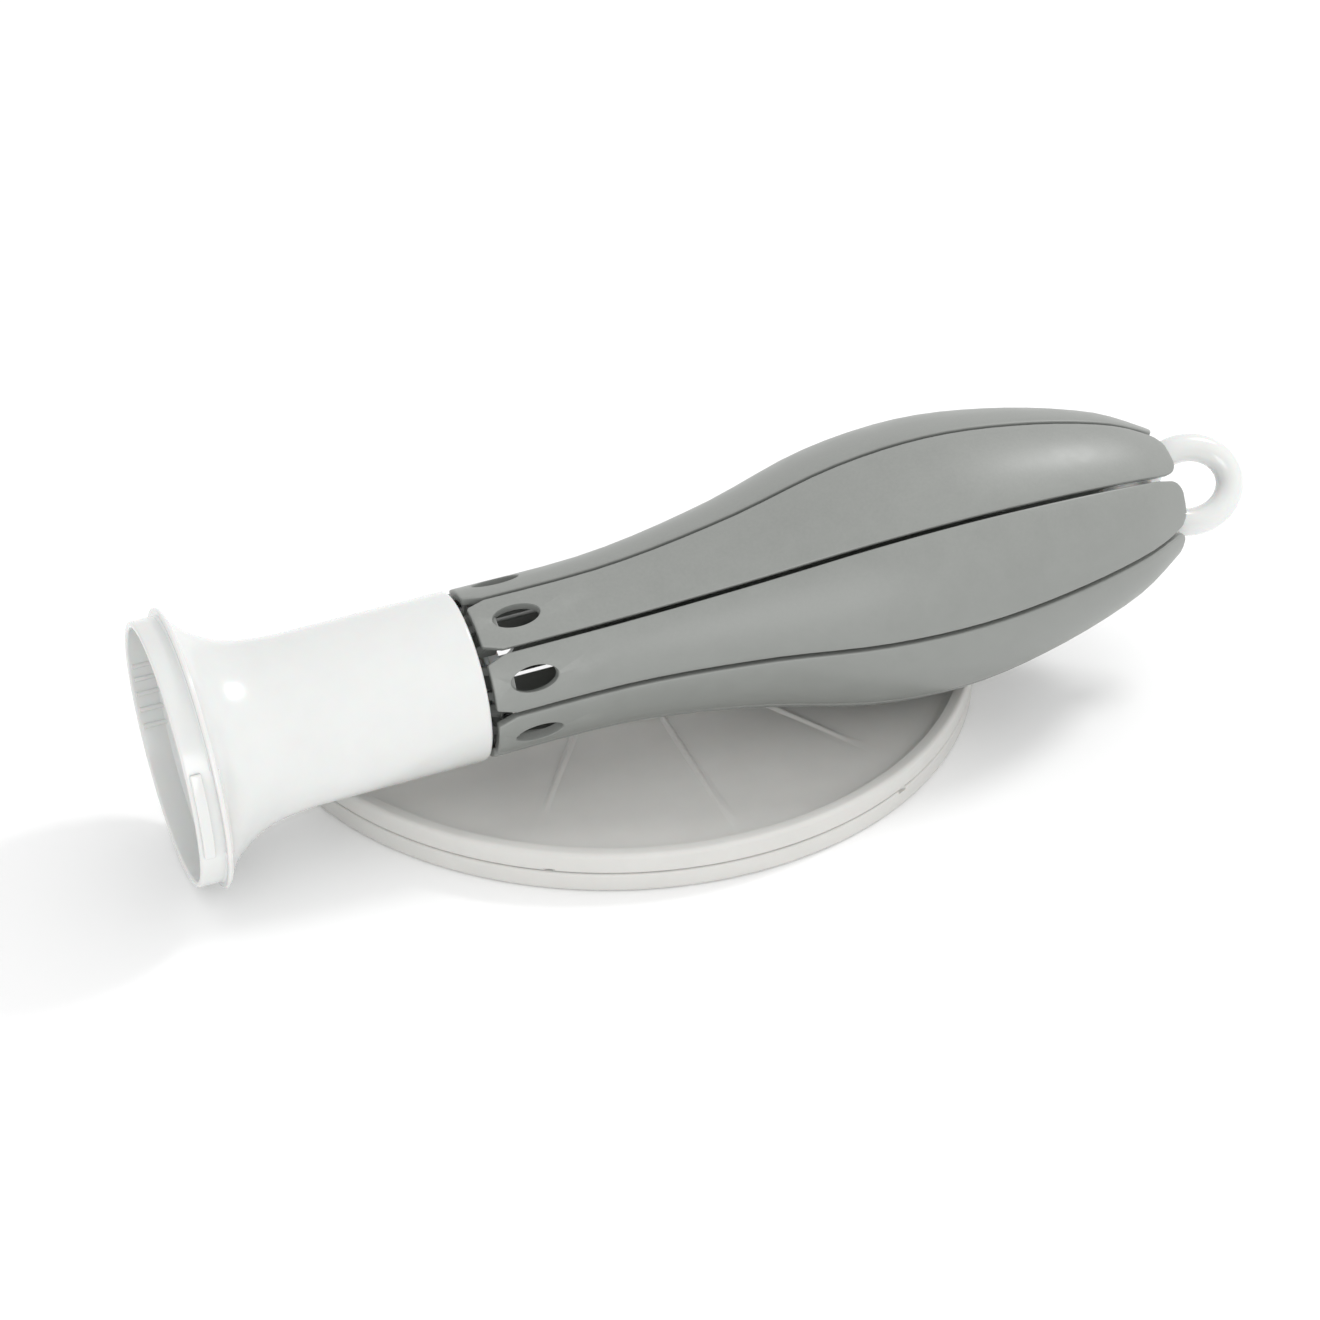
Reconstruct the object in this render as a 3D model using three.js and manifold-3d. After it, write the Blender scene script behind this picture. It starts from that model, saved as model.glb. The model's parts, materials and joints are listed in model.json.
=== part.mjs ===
// A folding bottle-drying rack, lying folded the way it is stored: a tree with eight hinged petals
// lies on its round tray, which is folded in half under it.
//
// Units are millimetres and +Z is up. The tree's axis runs along +X, from the flange that the tree
// stands on to the pull ring at its tip. The tray's fold line runs along X as well, behind the tree.
// The origin is under the middle of the whole object, on the surface that it lies on.
import * as THREE from 'three';
import { mergeVertices } from 'three/addons/utils/BufferGeometryUtils.js';
import Module from 'manifold-3d';

const wasm = await Module();
wasm.setup();

// ---------------------------------------------------------------- driving dimensions

const CLEARANCE = 0.3; // between pieces that touch or run in each other

const tray = {
  radius: 120, // of the opened tray
  thickness: 7, // of each half, over its rim
  floor: 3.9, // thickness inside the rim
  wallFace: 4.2, // height of the upright part of the outer wall
  rimInset: 1.6, // from the outer wall to the top of the rim
  rimWidth: 2.2, // flat top of the rim
  rimSlope: 3, // width of the slope from the rim's top to the floor
  socketRim: 4, // width of the raised seat round the socket
  socketRise: 1.4, // height of that seat over the floor
  ribs: 5, // raised ribs on each half
  ribPitch: 33, // degrees between neighbouring ribs
  ribWidth: 2.3,
  ribHeight: 1,
  ribReach: 97, // distance from the centre at which a rib has faded out
  notchWidth: 3, // thumb notch in the upper half's outer edge
  notchDepth: 1.2,
  notchAngle: -29.5, // degrees from the middle rib
};

const hinge = {
  stations: 2, // hinges along the fold line
  offset: 78, // from the tray's centre to the middle of a hinge
  knuckles: 3, // in each hinge, turn by turn on the upper and the lower half
  knuckleLength: 9,
  barrel: 3, // outer radius of a knuckle
  pin: 1.3, // radius of a hinge pin
  web: 6, // how far a knuckle's root reaches into its half
};

const flange = {
  radius: 43.8,
  lip: 1.3, // thickness of the lip
  collarRadius: 41.5,
  collarWall: 2,
  collarDepth: 8.5, // how far the collar stands out past the lip
  flareLength: 32, // from the lip to the straight part of the stem
  lugHeight: 1.5, // bayonet lugs on the collar
  lugWidth: 3.4,
  lugInset: 1.2, // from the collar's edge to a lug
  lugSpan: 40, // degrees
  lugAngle: -96, // degrees round the axis from straight down
  ribs: 5, // grip ribs inside the collar, behind each lug
  ribHeight: 0.8,
  ribWidth: 1.4,
};

const stem = {
  length: 88, // from the lip to the neck's end
  radius: 27, // of the neck
  wall: 2.6,
  edge: 1.3, // rounding of the neck's end
  deckDrop: 5.3, // from the neck's end down to the deck that carries the hub
  deck: 2.5, // thickness of the deck
  deckBore: 14,
};

const hub = {
  plate: 2.5, // thickness
  lugWidth: 2.4, // thickness of each of the two lugs that hold a petal's pin
  lugRoot: 5.9, // how deep a lug is, from its inner edge outward
  bore: 6,
  drains: 8, // drain holes through the plate
  drainRadius: 2.2,
  drainCircle: 11.5,
  screws: 4,
  screwCircle: stem.radius - 8.5,
};

const petal = {
  count: 8,
  phase: 22, // degrees from straight down to the nearest petal's middle
  start: 90, // from the lip to the petal's neck end
  length: 236.5,
  neckRadius: stem.radius - 0.2,
  bellyRadius: 44.4,
  bellyAt: 155, // from the neck end to the widest place
  tipRadius: 22,
  wall: 3,
  gap: 1.5, // between neighbouring petals
  tipCorner: 6, // radius of the tip's two corners
  tipWider: 0.9, // how far each corner's start lies outside the tip's half width
  neckTaper: 6, // length over which the neck end narrows
  neckNarrow: 2.1, // how much it narrows on each side
  neckChamfer: 1.3, // on the outer edge of the neck end
  holeLength: 15,
  holeWidth: 8,
  holeAt: 13.3, // from the neck end to the middle of the hole
  ribDepth: 4, // stiffening rib inside
  ribWidth: 2,
  ribFrom: 34, // from the neck end
  ribTo: 205,
  open: 55, // degrees that a petal swings outward
};

const pivot = {
  at: 94.2, // from the lip to the petals' pins
  radius: petal.neckRadius - petal.wall - 2.8, // from the axis to the petals' pins
  pin: 1.2, // radius of a pin
  eye: 2.1, // outer radius of the eyes round a pin
  tongue: 4.8, // thickness of a petal's root
  crank: 9, // from the pin to the middle of the crank's tip
  crankTip: 1.5, // radius of the crank's tip
  crankThin: 0.75, // half thickness of the crank next to its tip
};

const spool = {
  flangeRadius: pivot.radius - 6.5,
  flangeWidth: 1.6,
  grooveDepth: 3.9,
  bossLength: 5, // of the sleeve on the tip's side, which the cross pin goes through
  bossRadius: 7,
  crossPin: 1.1,
};

const rod = {
  radius: 3.2,
  stopRadius: 6.5, // disc at the rod's lower end that ends the pull
  stopWidth: 2.4,
  bushWall: 1.8,
  bushLength: 12,
  bushFlange: 1.6,
  topDrop: 2, // from the loop's lower end down to the rod's top
  neckDown: 1.2, // how much thinner the rod is where the stop sits
  neckDownLength: 3.5,
};

const ring = {
  tube: 4.6, // radius of the ring's round section
  across: 12.2, // half the width of the loop, to the middle of the section
  along: 15, // half the length of the loop, to the middle of the section
  beyond: 31.3, // from the petals' tips to the ring's far end
  turn: -40, // degrees round the axis
  neckRadius: 5.6,
  neckLength: 14,
  crossPin: 1.1,
};

const screw = { radius: 1.3, head: 2.5, headHeight: 1.8 };

// How the folded tray lies under the tree.
const lying = {
  along: tray.radius + 35.5, // from the flange to the tray's middle
  behind: 52.9, // from the tree's axis back to the fold line
  play: 1.04, // between the petals' round outline and the tray's rim
};

const ROUND = 40; // facets round the large turned pieces
const PETAL_STEPS = 11; // steps along a petal
const SMALL_ROUND = 14; // facets round pins, rods and bores
const RIM_STEPS = 140; // places along the petals at which the tray's rim is tried

// ---------------------------------------------------------------- worked-out places

const radians = THREE.MathUtils.degToRad;
const pitch = 360 / petal.count;
const trayTop = 2 * tray.thickness;
const deckTop = stem.length - stem.deckDrop;
const hubBottom = deckTop + CLEARANCE;
const hubTop = hubBottom + hub.plate;
const crankSwing = radians(petal.open / 2); // the crank swings this far to each side of straight in
const ringTravel = 2 * pivot.crank * Math.sin(crankSwing);
const grooveAt = pivot.at - pivot.crank * Math.sin(crankSwing); // groove's middle while folded
const grooveHalf = pivot.crankTip + CLEARANCE + 0.1;
const spoolBottom = grooveAt - grooveHalf - spool.flangeWidth;
const spoolTop = grooveAt + grooveHalf + spool.flangeWidth;
const petalEnd = petal.start + petal.length;
const ringMiddle = petalEnd + ring.beyond - ring.along - ring.tube;
const rodTop = ringMiddle - ring.along - rod.topDrop;
const bushBottom = hubTop - rod.bushLength;
const rodBottom = bushBottom - CLEARANCE - ringTravel - rod.stopWidth;

// ---------------------------------------------------------------- profiles of the turned shapes

// Outer profile of the petals: narrow at the neck, round at the belly, drawn in at the tips.
const petalCurve = new THREE.SplineCurve([
  [0, petal.neckRadius],
  [0.29, petal.neckRadius + 0.5],
  [0.55, petal.neckRadius + 0.36 * (petal.bellyRadius - petal.neckRadius)],
  [0.79, petal.neckRadius + 0.87 * (petal.bellyRadius - petal.neckRadius)],
].map(([share, radius]) => new THREE.Vector2(petal.start + share * petal.bellyAt, radius)).concat([
  [0, petal.bellyRadius],
  [0.4, petal.tipRadius + 0.81 * (petal.bellyRadius - petal.tipRadius)],
  [0.77, petal.tipRadius + 0.44 * (petal.bellyRadius - petal.tipRadius)],
  [1, petal.tipRadius],
].map(([share, radius]) => new THREE.Vector2(
  petal.start + petal.bellyAt + share * (petal.length - petal.bellyAt), radius))));

// Outer profile of the stem's flare, from the lip to the straight neck.
const flareRise = flange.radius - stem.radius;
const flareCurve = new THREE.SplineCurve([
  [0, 1],
  [0.07, 0.735],
  [0.2, 0.47],
  [0.38, 0.25],
  [0.63, 0.08],
  [1, 0],
].map(([share, rise]) => new THREE.Vector2(
  flange.lip / 2 + share * flange.flareLength, stem.radius + rise * flareRise)));

// Shifts a profile sideways, towards the axis, by the wall's thickness.
function inwards(points, wall) {
  return points.map((point, i) => {
    const before = points[Math.max(i - 1, 0)];
    const after = points[Math.min(i + 1, points.length - 1)];
    const along = after.clone().sub(before).normalize();
    return new THREE.Vector2(point.x + along.y * wall, point.y - along.x * wall);
  });
}

// ---------------------------------------------------------------- shape helpers

// Turns a closed profile of [distance along the axis, radius] pairs round the Z axis.
function turned(profile, facets = ROUND) {
  const points = profile.map((p) => (p instanceof THREE.Vector2 ? p : new THREE.Vector2(...p)));
  const closed = points.concat([points[0]]).map((p) => new THREE.Vector2(Math.max(p.y, 0), p.x));
  const geometry = new THREE.LatheGeometry(closed, facets);
  return geometry.rotateX(Math.PI / 2);
}

// A straight round bar along Z, from one height to another.
function bar(radius, from, to, facets = SMALL_ROUND) {
  return new THREE.CylinderGeometry(radius, radius, to - from, facets)
    .rotateX(Math.PI / 2)
    .translate(0, 0, (from + to) / 2);
}

function box(x0, x1, y0, y1, z0, z1) {
  return new THREE.BoxGeometry(x1 - x0, y1 - y0, z1 - z0)
    .translate((x0 + x1) / 2, (y0 + y1) / 2, (z0 + z1) / 2);
}

// Pulls an outline up along Z from one height to another.
function pulled(points, from, to, curveSegments = 12) {
  const shape = points instanceof THREE.Shape ? points : new THREE.Shape(points.map((p) => (
    p instanceof THREE.Vector2 ? p : new THREE.Vector2(...p))));
  return new THREE.ExtrudeGeometry(shape, { depth: to - from, bevelEnabled: false, curveSegments })
    .translate(0, 0, from);
}

// A plate that stands in the X-Z plane: its outline is [radius, distance along the axis] pairs and
// it is as thick as given, from one Y to another.
function standing(points, fromY, toY) {
  return pulled(points, 0, toY - fromY).rotateX(Math.PI / 2).translate(0, toY, 0);
}

// A piece of a ring round Z: radii, heights and the span in degrees on both sides of an angle.
function ringPiece(inner, outer, from, to, angle, span) {
  const shape = new THREE.Shape();
  shape.absarc(0, 0, outer, radians(angle - span / 2), radians(angle + span / 2), false);
  shape.absarc(0, 0, inner, radians(angle + span / 2), radians(angle - span / 2), true);
  return pulled(shape, from, to);
}

function solid(geometry) {
  const bare = geometry.clone();
  bare.deleteAttribute('normal');
  bare.deleteAttribute('uv');
  const merged = mergeVertices(bare, 1e-4);
  const index = [];
  for (let i = 0; i < merged.index.count; i += 3) {
    const corners = [0, 1, 2].map((k) => merged.index.getX(i + k));
    if (new Set(corners).size === 3) index.push(...corners);
  }
  return new wasm.Manifold(new wasm.Mesh({
    numProp: 3,
    vertProperties: Float32Array.from(merged.attributes.position.array),
    triVerts: Uint32Array.from(index),
  }));
}

// Joins and cuts: the first shape, with the added ones joined to it and the cut ones taken away.
function shaped(first, { join = [], keep = [], cut = [] }) {
  let body = solid(first);
  for (const geometry of join) body = body.add(solid(geometry));
  for (const geometry of keep) body = body.intersect(solid(geometry));
  for (const geometry of cut) body = body.subtract(solid(geometry));
  const mesh = body.getMesh();
  const geometry = new THREE.BufferGeometry();
  geometry.setAttribute('position', new THREE.BufferAttribute(mesh.vertProperties, 3));
  geometry.setIndex(new THREE.BufferAttribute(mesh.triVerts, 1));
  return geometry;
}

// ---------------------------------------------------------------- materials

const material = (color, roughness, metalness = 0) => (
  new THREE.MeshStandardMaterial({ color, roughness, metalness }));

const whitePlastic = material(0xf1f2f0, 0.3);
const petalGrey = material(0x9ea19d, 0.5);
const trayGrey = material(0xcbc9c4, 0.55);
const innerGrey = material(0x8b8e8b, 0.5);
const steel = material(0xc6c8ca, 0.3, 1);

function piece(name, geometry, look) {
  const mesh = new THREE.Mesh(geometry, look);
  mesh.name = name;
  return mesh;
}

// ---------------------------------------------------------------- tray halves and their hinges

// Both halves are made about the fold line: X along it, Y away from it, Z = 0 in the seam.

const socketRadius = flange.collarRadius + CLEARANCE;
const knuckleRun = hinge.knuckleLength + CLEARANCE;
const hingeLength = hinge.knuckles * knuckleRun - CLEARANCE;
const hingeMiddles = Array.from({ length: hinge.stations }, (_, i) => (
  hinge.offset * (2 * i - (hinge.stations - 1))));

// The turned section of the tray: flat seam face, upright wall, rounded rim and sunken floor.
function traySection() {
  const seam = CLEARANCE / 2;
  const rimTop = tray.radius - tray.rimInset;
  const rimInner = rimTop - tray.rimWidth;
  const seatOuter = socketRadius + tray.socketRim;
  const seatTop = tray.floor + tray.socketRise;
  const shoulder = new THREE.EllipseCurve(
    tray.wallFace, tray.radius - tray.rimInset, tray.thickness - tray.wallFace, tray.rimInset,
    Math.PI / 2, 0, true).getPoints(3);
  return [
    [seam, socketRadius],
    [seam, tray.radius - 0.8],
    [seam + 0.8, tray.radius],
    ...shoulder,
    [tray.thickness, rimInner],
    [tray.floor, rimInner - tray.rimSlope],
    [tray.floor, seatOuter + tray.socketRise],
    [seatTop, seatOuter],
    [seatTop, socketRadius],
  ];
}

// Stretches of the fold line that the chosen knuckles take up.
function knuckleSpans(first) {
  const spans = [];
  for (const middle of hingeMiddles) {
    for (let k = first; k < hinge.knuckles; k += 2) {
      const from = middle - hingeLength / 2 + k * knuckleRun;
      spans.push([from, from + hinge.knuckleLength]);
    }
  }
  return spans;
}

const alongX = (geometry, from) => geometry.rotateY(Math.PI / 2).translate(from, 0, 0);

function trayHalf(name, firstKnuckle) {
  const seam = CLEARANCE / 2;
  const ownSpans = knuckleSpans(firstKnuckle);
  const otherSpans = knuckleSpans(1 - firstKnuckle);
  const reach = tray.radius + 10;
  const knuckles = ownSpans.flatMap(([from, to]) => [
    alongX(bar(hinge.barrel, 0, to - from), from),
    box(from, to, -hinge.web, 0, seam, hinge.barrel),
  ]);
  const reliefs = otherSpans.map(([from, to]) => (
    alongX(bar(hinge.barrel + CLEARANCE, 0, to - from + 2 * CLEARANCE), from - CLEARANCE)));
  const bores = hingeMiddles.map((middle) => (
    alongX(bar(hinge.pin + CLEARANCE, 0, hingeLength + 2), middle - hingeLength / 2 - 1)));
  const ribStart = socketRadius + tray.socketRim / 2;
  const ribs = Array.from({ length: tray.ribs }, (_, i) => (
    standing([
      [ribStart, tray.floor - 1],
      [tray.ribReach, tray.floor - 1],
      [tray.ribReach, tray.floor + 0.05],
      [ribStart + (tray.ribReach - ribStart) / 2, tray.floor + tray.ribHeight],
      [ribStart, tray.floor + tray.ribHeight],
    ], -tray.ribWidth / 2, tray.ribWidth / 2)
      .rotateZ(radians(-90 + tray.ribPitch * (i - (tray.ribs - 1) / 2)))));
  const lugNotch = ringPiece(
    socketRadius - 2, socketRadius + flange.lugHeight, -1, tray.thickness + 1,
    flange.lugAngle, flange.lugSpan + 4);
  const thumbNotch = box(
    tray.radius - tray.notchDepth, tray.radius + 2, -tray.notchWidth / 2, tray.notchWidth / 2,
    -1, seam + tray.notchDepth).rotateZ(radians(-90 + tray.notchAngle));
  const halfDisc = shaped(turned(traySection(), 1.5 * ROUND), {
    join: ribs,
    keep: [box(-reach, reach, -reach, -CLEARANCE / 2, -1, tray.thickness + 1)],
    cut: [lugNotch, thumbNotch],
  });
  return piece(name, shaped(halfDisc, { join: knuckles, cut: [...reliefs, ...bores] }), trayGrey);
}

function foldedTray() {
  const group = new THREE.Group();
  const upper = trayHalf('tray_half_upper', 0);
  const lower = trayHalf('tray_half_lower', 1);
  lower.rotation.y = Math.PI;
  group.add(upper, lower);
  hingeMiddles.forEach((middle, i) => {
    const pin = bar(hinge.pin, 0, hingeLength);
    group.add(piece(`tray_hinge_pin_${i + 1}`, alongX(pin, middle - hingeLength / 2), steel));
  });
  return group;
}

// ---------------------------------------------------------------- stem, hub and their fixings

function stemPiece() {
  const flare = flareCurve.getPoints(7);
  const inner = stem.radius - stem.wall;
  const deckBottom = deckTop - stem.deck;
  const neckEdge = new THREE.EllipseCurve(
    stem.length - stem.edge, stem.radius - stem.edge, stem.edge, stem.edge,
    Math.PI / 2, 0, true).getPoints(2);
  const innerFlare = inwards(flare, stem.wall).filter((p) => (
    p.y < flange.collarRadius - flange.collarWall - 0.5));
  const collarInner = flange.collarRadius - flange.collarWall;
  const body = turned([
    [-flange.collarDepth, flange.collarRadius],
    [-flange.lip / 2, flange.collarRadius],
    [-flange.lip / 2, flange.radius - 0.4],
    [0, flange.radius],
    ...flare.slice(1),
    ...neckEdge,
    [stem.length, inner + 0.4],
    [stem.length - 0.6, inner],
    [deckTop, inner],
    [deckTop, stem.deckBore],
    [deckBottom, stem.deckBore],
    [deckBottom, inner - 0.2],
    ...innerFlare.reverse(),
    [innerFlare[innerFlare.length - 1].x - 0.6, collarInner],
    [-flange.collarDepth, collarInner],
  ]);
  const lugEnd = -flange.collarDepth + flange.lugInset;
  const lugs = [0, 180].map((turn) => ringPiece(
    flange.collarRadius - 0.5, flange.collarRadius + flange.lugHeight,
    lugEnd, lugEnd + flange.lugWidth, flange.lugAngle + turn, flange.lugSpan));
  const windows = [0, 180].map((turn) => ringPiece(
    flange.collarRadius, flange.collarRadius + flange.lugHeight,
    -flange.lip, flange.lip * 3, flange.lugAngle + turn, flange.lugSpan));
  const ribStep = flange.lugSpan / flange.ribs;
  const ribs = [0, 180].flatMap((turn) => Array.from({ length: flange.ribs }, (_, i) => (
    ringPiece(
      collarInner - flange.ribHeight, collarInner + 0.5, -flange.collarDepth + 0.8, 0,
      flange.lugAngle + turn + ribStep * (i - (flange.ribs - 1) / 2),
      (flange.ribWidth / collarInner) * THREE.MathUtils.RAD2DEG))));
  const screwHoles = screwPlaces().map(([x, y]) => (
    bar(screw.radius + CLEARANCE, deckBottom - 1, deckTop + 1, 10).translate(x, y, 0)));
  const geometry = shaped(body, { join: [...lugs, ...ribs], cut: [...windows, ...screwHoles] });
  return piece('stem', geometry, whitePlastic);
}

// Middle of each hub screw, between two petals.
function screwPlaces() {
  return Array.from({ length: hub.screws }, (_, i) => {
    const angle = radians(petal.phase + pitch * (0.5 + (i * petal.count) / hub.screws));
    return [hub.screwCircle * Math.cos(angle), hub.screwCircle * Math.sin(angle)];
  });
}

// Side view of one of the hub's pin lugs: it comes up from the plate inside the petal's root and
// ends round the pin, clear of the petal's neck end as that swings in.
function hubLugOutline() {
  const inner = spool.flangeRadius + 1.2;
  const swingClear = pivot.at - Math.hypot(pivot.at - petal.start, 1.7) - CLEARANCE;
  const nose = Array.from({ length: 5 }, (_, i) => {
    const angle = radians(225 - i * 57.5);
    return [pivot.radius + pivot.eye * Math.sin(angle), pivot.at + pivot.eye * Math.cos(angle)];
  });
  return [
    [inner, hubTop - 0.5],
    [inner + hub.lugRoot, hubTop - 0.5],
    [inner + hub.lugRoot, hubTop + 1],
    [pivot.radius - 2.7, stem.length + 0.2],
    [pivot.radius - 3, swingClear - 0.1],
    ...nose,
    [inner, pivot.at + pivot.eye - 0.8],
  ];
}

function hubPiece() {
  const outline = hubLugOutline();
  const inside = pivot.tongue / 2 + CLEARANCE;
  const plate = turned([
    [hubBottom, hub.bore],
    [hubBottom, stem.radius - stem.wall - CLEARANCE],
    [hubTop, stem.radius - stem.wall - CLEARANCE],
    [hubTop, hub.bore],
  ]);
  const lugs = [];
  const bores = [];
  const drains = [];
  for (let i = 0; i < petal.count; i += 1) {
    const angle = radians(petal.phase + i * pitch);
    lugs.push(standing(outline, inside, inside + hub.lugWidth).rotateZ(angle));
    lugs.push(standing(outline, -inside - hub.lugWidth, -inside).rotateZ(angle));
    bores.push(pinBar(pivot.pin + CLEARANCE, inside + hub.lugWidth + 1).rotateZ(angle));
    drains.push(bar(hub.drainRadius, hubBottom - 1, hubTop + 1, 8)
      .translate(hub.drainCircle, 0, 0).rotateZ(angle));
  }
  const screwHoles = screwPlaces().map(([x, y]) => (
    bar(screw.radius + CLEARANCE, hubBottom - 1, hubTop + 1, 10).translate(x, y, 0)));
  const geometry = shaped(plate, { join: lugs, cut: [...bores, ...drains, ...screwHoles] });
  return piece('hinge_hub', geometry, innerGrey);
}

// A round bar across a petal's root, at the petal's pivot.
function pinBar(radius, half) {
  return bar(radius, -half, half, 10).rotateX(Math.PI / 2).translate(pivot.radius, 0, pivot.at);
}

function hubScrews() {
  const headTop = deckTop - stem.deck - CLEARANCE;
  return screwPlaces().map(([x, y], i) => piece(`hub_screw_${i + 1}`, turned([
    [headTop - screw.headHeight, 0],
    [headTop - screw.headHeight, screw.head - 0.4],
    [headTop - screw.headHeight + 0.6, screw.head],
    [headTop, screw.head],
    [headTop, screw.radius],
    [hubTop - 0.2, screw.radius],
    [hubTop - 0.2, 0],
  ], 14).translate(x, y, 0), steel));
}

function rodBush() {
  const inner = rod.radius + CLEARANCE;
  const outer = Math.min(inner + rod.bushWall, hub.bore - CLEARANCE);
  return piece('rod_bush', turned([
    [bushBottom, inner],
    [bushBottom, outer],
    [hubBottom - rod.bushFlange - CLEARANCE, outer],
    [hubBottom - rod.bushFlange - CLEARANCE, outer + 3],
    [hubBottom - CLEARANCE, outer + 3],
    [hubBottom - CLEARANCE, outer],
    [hubTop, outer],
    [hubTop, inner],
  ], 20), whitePlastic);
}

// ---------------------------------------------------------------- petals and their pins

// Every petal is a sector of one turned shell, trimmed to the petal's outline.
function petalShell() {
  const outer = petalCurve.getPoints(PETAL_STEPS);
  const inner = inwards(outer, petal.wall);
  outer[0].x = petal.start;
  inner[0].x = petal.start;
  inner[inner.length - 1].x = petalEnd;
  return turned([
    [petal.start, petal.neckRadius - petal.neckChamfer],
    [petal.start + petal.neckChamfer, petal.neckRadius],
    ...outer.slice(1),
    ...inner.reverse(),
  ]);
}

// The space between two planes through the axis, kept clear of the neighbours by half the gap.
function petalSector() {
  const half = radians(pitch / 2);
  const apex = petal.gap / 2 / Math.sin(half);
  const reach = petal.bellyRadius + 10;
  return pulled([
    [apex, 0],
    [apex + reach, -reach * Math.tan(half)],
    [apex + reach, reach * Math.tan(half)],
  ], petal.start - 1, petalEnd + 1);
}

// The petal's outline seen from outside, pulled through the shell along X.
function petalOutline() {
  const wide = petal.bellyRadius;
  const neckHalf = petal.neckRadius * Math.sin(radians(pitch / 2)) - petal.gap / 2;
  const tipHalf = petal.tipRadius * Math.sin(radians(pitch / 2)) - petal.gap / 2 + petal.tipWider;
  const shoulder = petalEnd - petal.tipCorner;
  const tip = new THREE.EllipseCurve(
    tipHalf - petal.tipCorner, shoulder, petal.tipCorner, petal.tipCorner,
    0, Math.PI / 2, false).getPoints(4);
  const side = [
    new THREE.Vector2(neckHalf - petal.neckNarrow, petal.start - 1),
    new THREE.Vector2(neckHalf - petal.neckNarrow, petal.start),
    new THREE.Vector2(neckHalf, petal.start + petal.neckTaper),
    new THREE.Vector2(wide, petal.start + petal.neckTaper + wide),
    new THREE.Vector2(wide, shoulder - wide),
    ...tip,
  ];
  const mirrored = side.map((p) => new THREE.Vector2(-p.x, p.y)).reverse();
  return pulled([...side, ...mirrored], 0, wide + 12)
    .rotateX(Math.PI / 2).rotateZ(Math.PI / 2);
}

// Side view of a petal's root: the eye round the pin and the crank that reaches into the spool.
function petalRootOutline() {
  const lean = radians(petal.open / 2);
  const place = (along, side) => [
    pivot.radius - along * Math.cos(lean) + side * Math.sin(lean),
    pivot.at - along * Math.sin(lean) - side * Math.cos(lean),
  ];
  const tip = Array.from({ length: 6 }, (_, i) => {
    const angle = radians(-125 + i * 50);
    return place(pivot.crank + pivot.crankTip * Math.cos(angle), pivot.crankTip * Math.sin(angle));
  });
  const wallInside = petal.neckRadius - petal.wall;
  return [
    [wallInside + 1, petal.start + 1.2],
    [pivot.radius + 0.6, pivot.at - pivot.eye],
    place(1.6, pivot.eye - 0.5),
    place(pivot.crank - pivot.crankTip, pivot.crankThin),
    ...tip.reverse(),
    place(pivot.crank - pivot.crankTip, -pivot.crankThin),
    place(1.6, -pivot.eye + 0.3),
    [pivot.radius - 0.6, pivot.at + pivot.eye],
    [wallInside + 1, pivot.at + 9],
  ];
}

function petalRib() {
  const inner = inwards(petalCurve.getPoints(PETAL_STEPS), petal.wall)
    .filter((p) => p.x > petal.start + petal.ribFrom && p.x < petal.start + petal.ribTo);
  const top = inner.map((p) => [p.y + 1, p.x]);
  const bottom = inner.slice(1, -1).map((p) => [p.y - petal.ribDepth, p.x]).reverse();
  return standing([...top, ...bottom], -petal.ribWidth / 2, petal.ribWidth / 2);
}

function petalGeometry() {
  const hole = new THREE.Shape();
  hole.absellipse(0, 0, petal.holeWidth / 2, petal.holeLength / 2, 0, 2 * Math.PI);
  const holeCutter = pulled(hole, petal.neckRadius - petal.wall - 3, petal.bellyRadius, 6)
    .rotateX(Math.PI / 2).rotateZ(Math.PI / 2)
    .translate(0, 0, petal.start + petal.holeAt);
  const blade = shaped(petalShell(), {
    keep: [petalSector(), petalOutline()],
    cut: [holeCutter],
  });
  return shaped(blade, {
    join: [standing(petalRootOutline(), -pivot.tongue / 2, pivot.tongue / 2), petalRib()],
    cut: [pinBar(pivot.pin + CLEARANCE, pivot.tongue)],
  });
}

function petals() {
  const group = new THREE.Group();
  const geometry = petalGeometry();
  const pinHalf = pivot.tongue / 2 + CLEARANCE + hub.lugWidth;
  for (let i = 0; i < petal.count; i += 1) {
    const blade = piece(`petal_${i + 1}`, geometry, petalGrey);
    const pin = piece(`petal_pin_${i + 1}`, pinBar(pivot.pin, pinHalf), steel);
    const arm = new THREE.Group();
    arm.rotation.z = radians(petal.phase + i * pitch);
    arm.add(blade, pin);
    group.add(arm);
  }
  return group;
}

// ---------------------------------------------------------------- pull rod, spool and ring

function pullRod() {
  const shoulder = rodBottom + rod.stopWidth + CLEARANCE;
  const body = turned([
    [shoulder - rod.neckDownLength, 0],
    [shoulder - rod.neckDownLength, rod.radius - rod.neckDown],
    [shoulder, rod.radius - rod.neckDown],
    [shoulder, rod.radius],
    [rodTop, rod.radius],
    [rodTop, 0],
  ], SMALL_ROUND);
  const pinHoles = [
    crossPin(spool.crossPin + CLEARANCE, spool.bossRadius, crossPinHeights().spool, 0),
    crossPin(ring.crossPin + CLEARANCE, ring.neckRadius, crossPinHeights().ring, ring.turn),
  ];
  return piece('pull_rod', shaped(body, { cut: pinHoles }), steel);
}

function crossPinHeights() {
  return {
    spool: spoolTop + spool.bossLength / 2,
    ring: rodTop - ring.neckLength / 2,
  };
}

// A round pin through the rod, across the axis.
function crossPin(radius, half, height, turn) {
  return bar(radius, -half, half, 12).rotateX(Math.PI / 2).rotateZ(radians(turn))
    .translate(0, 0, height);
}

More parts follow.
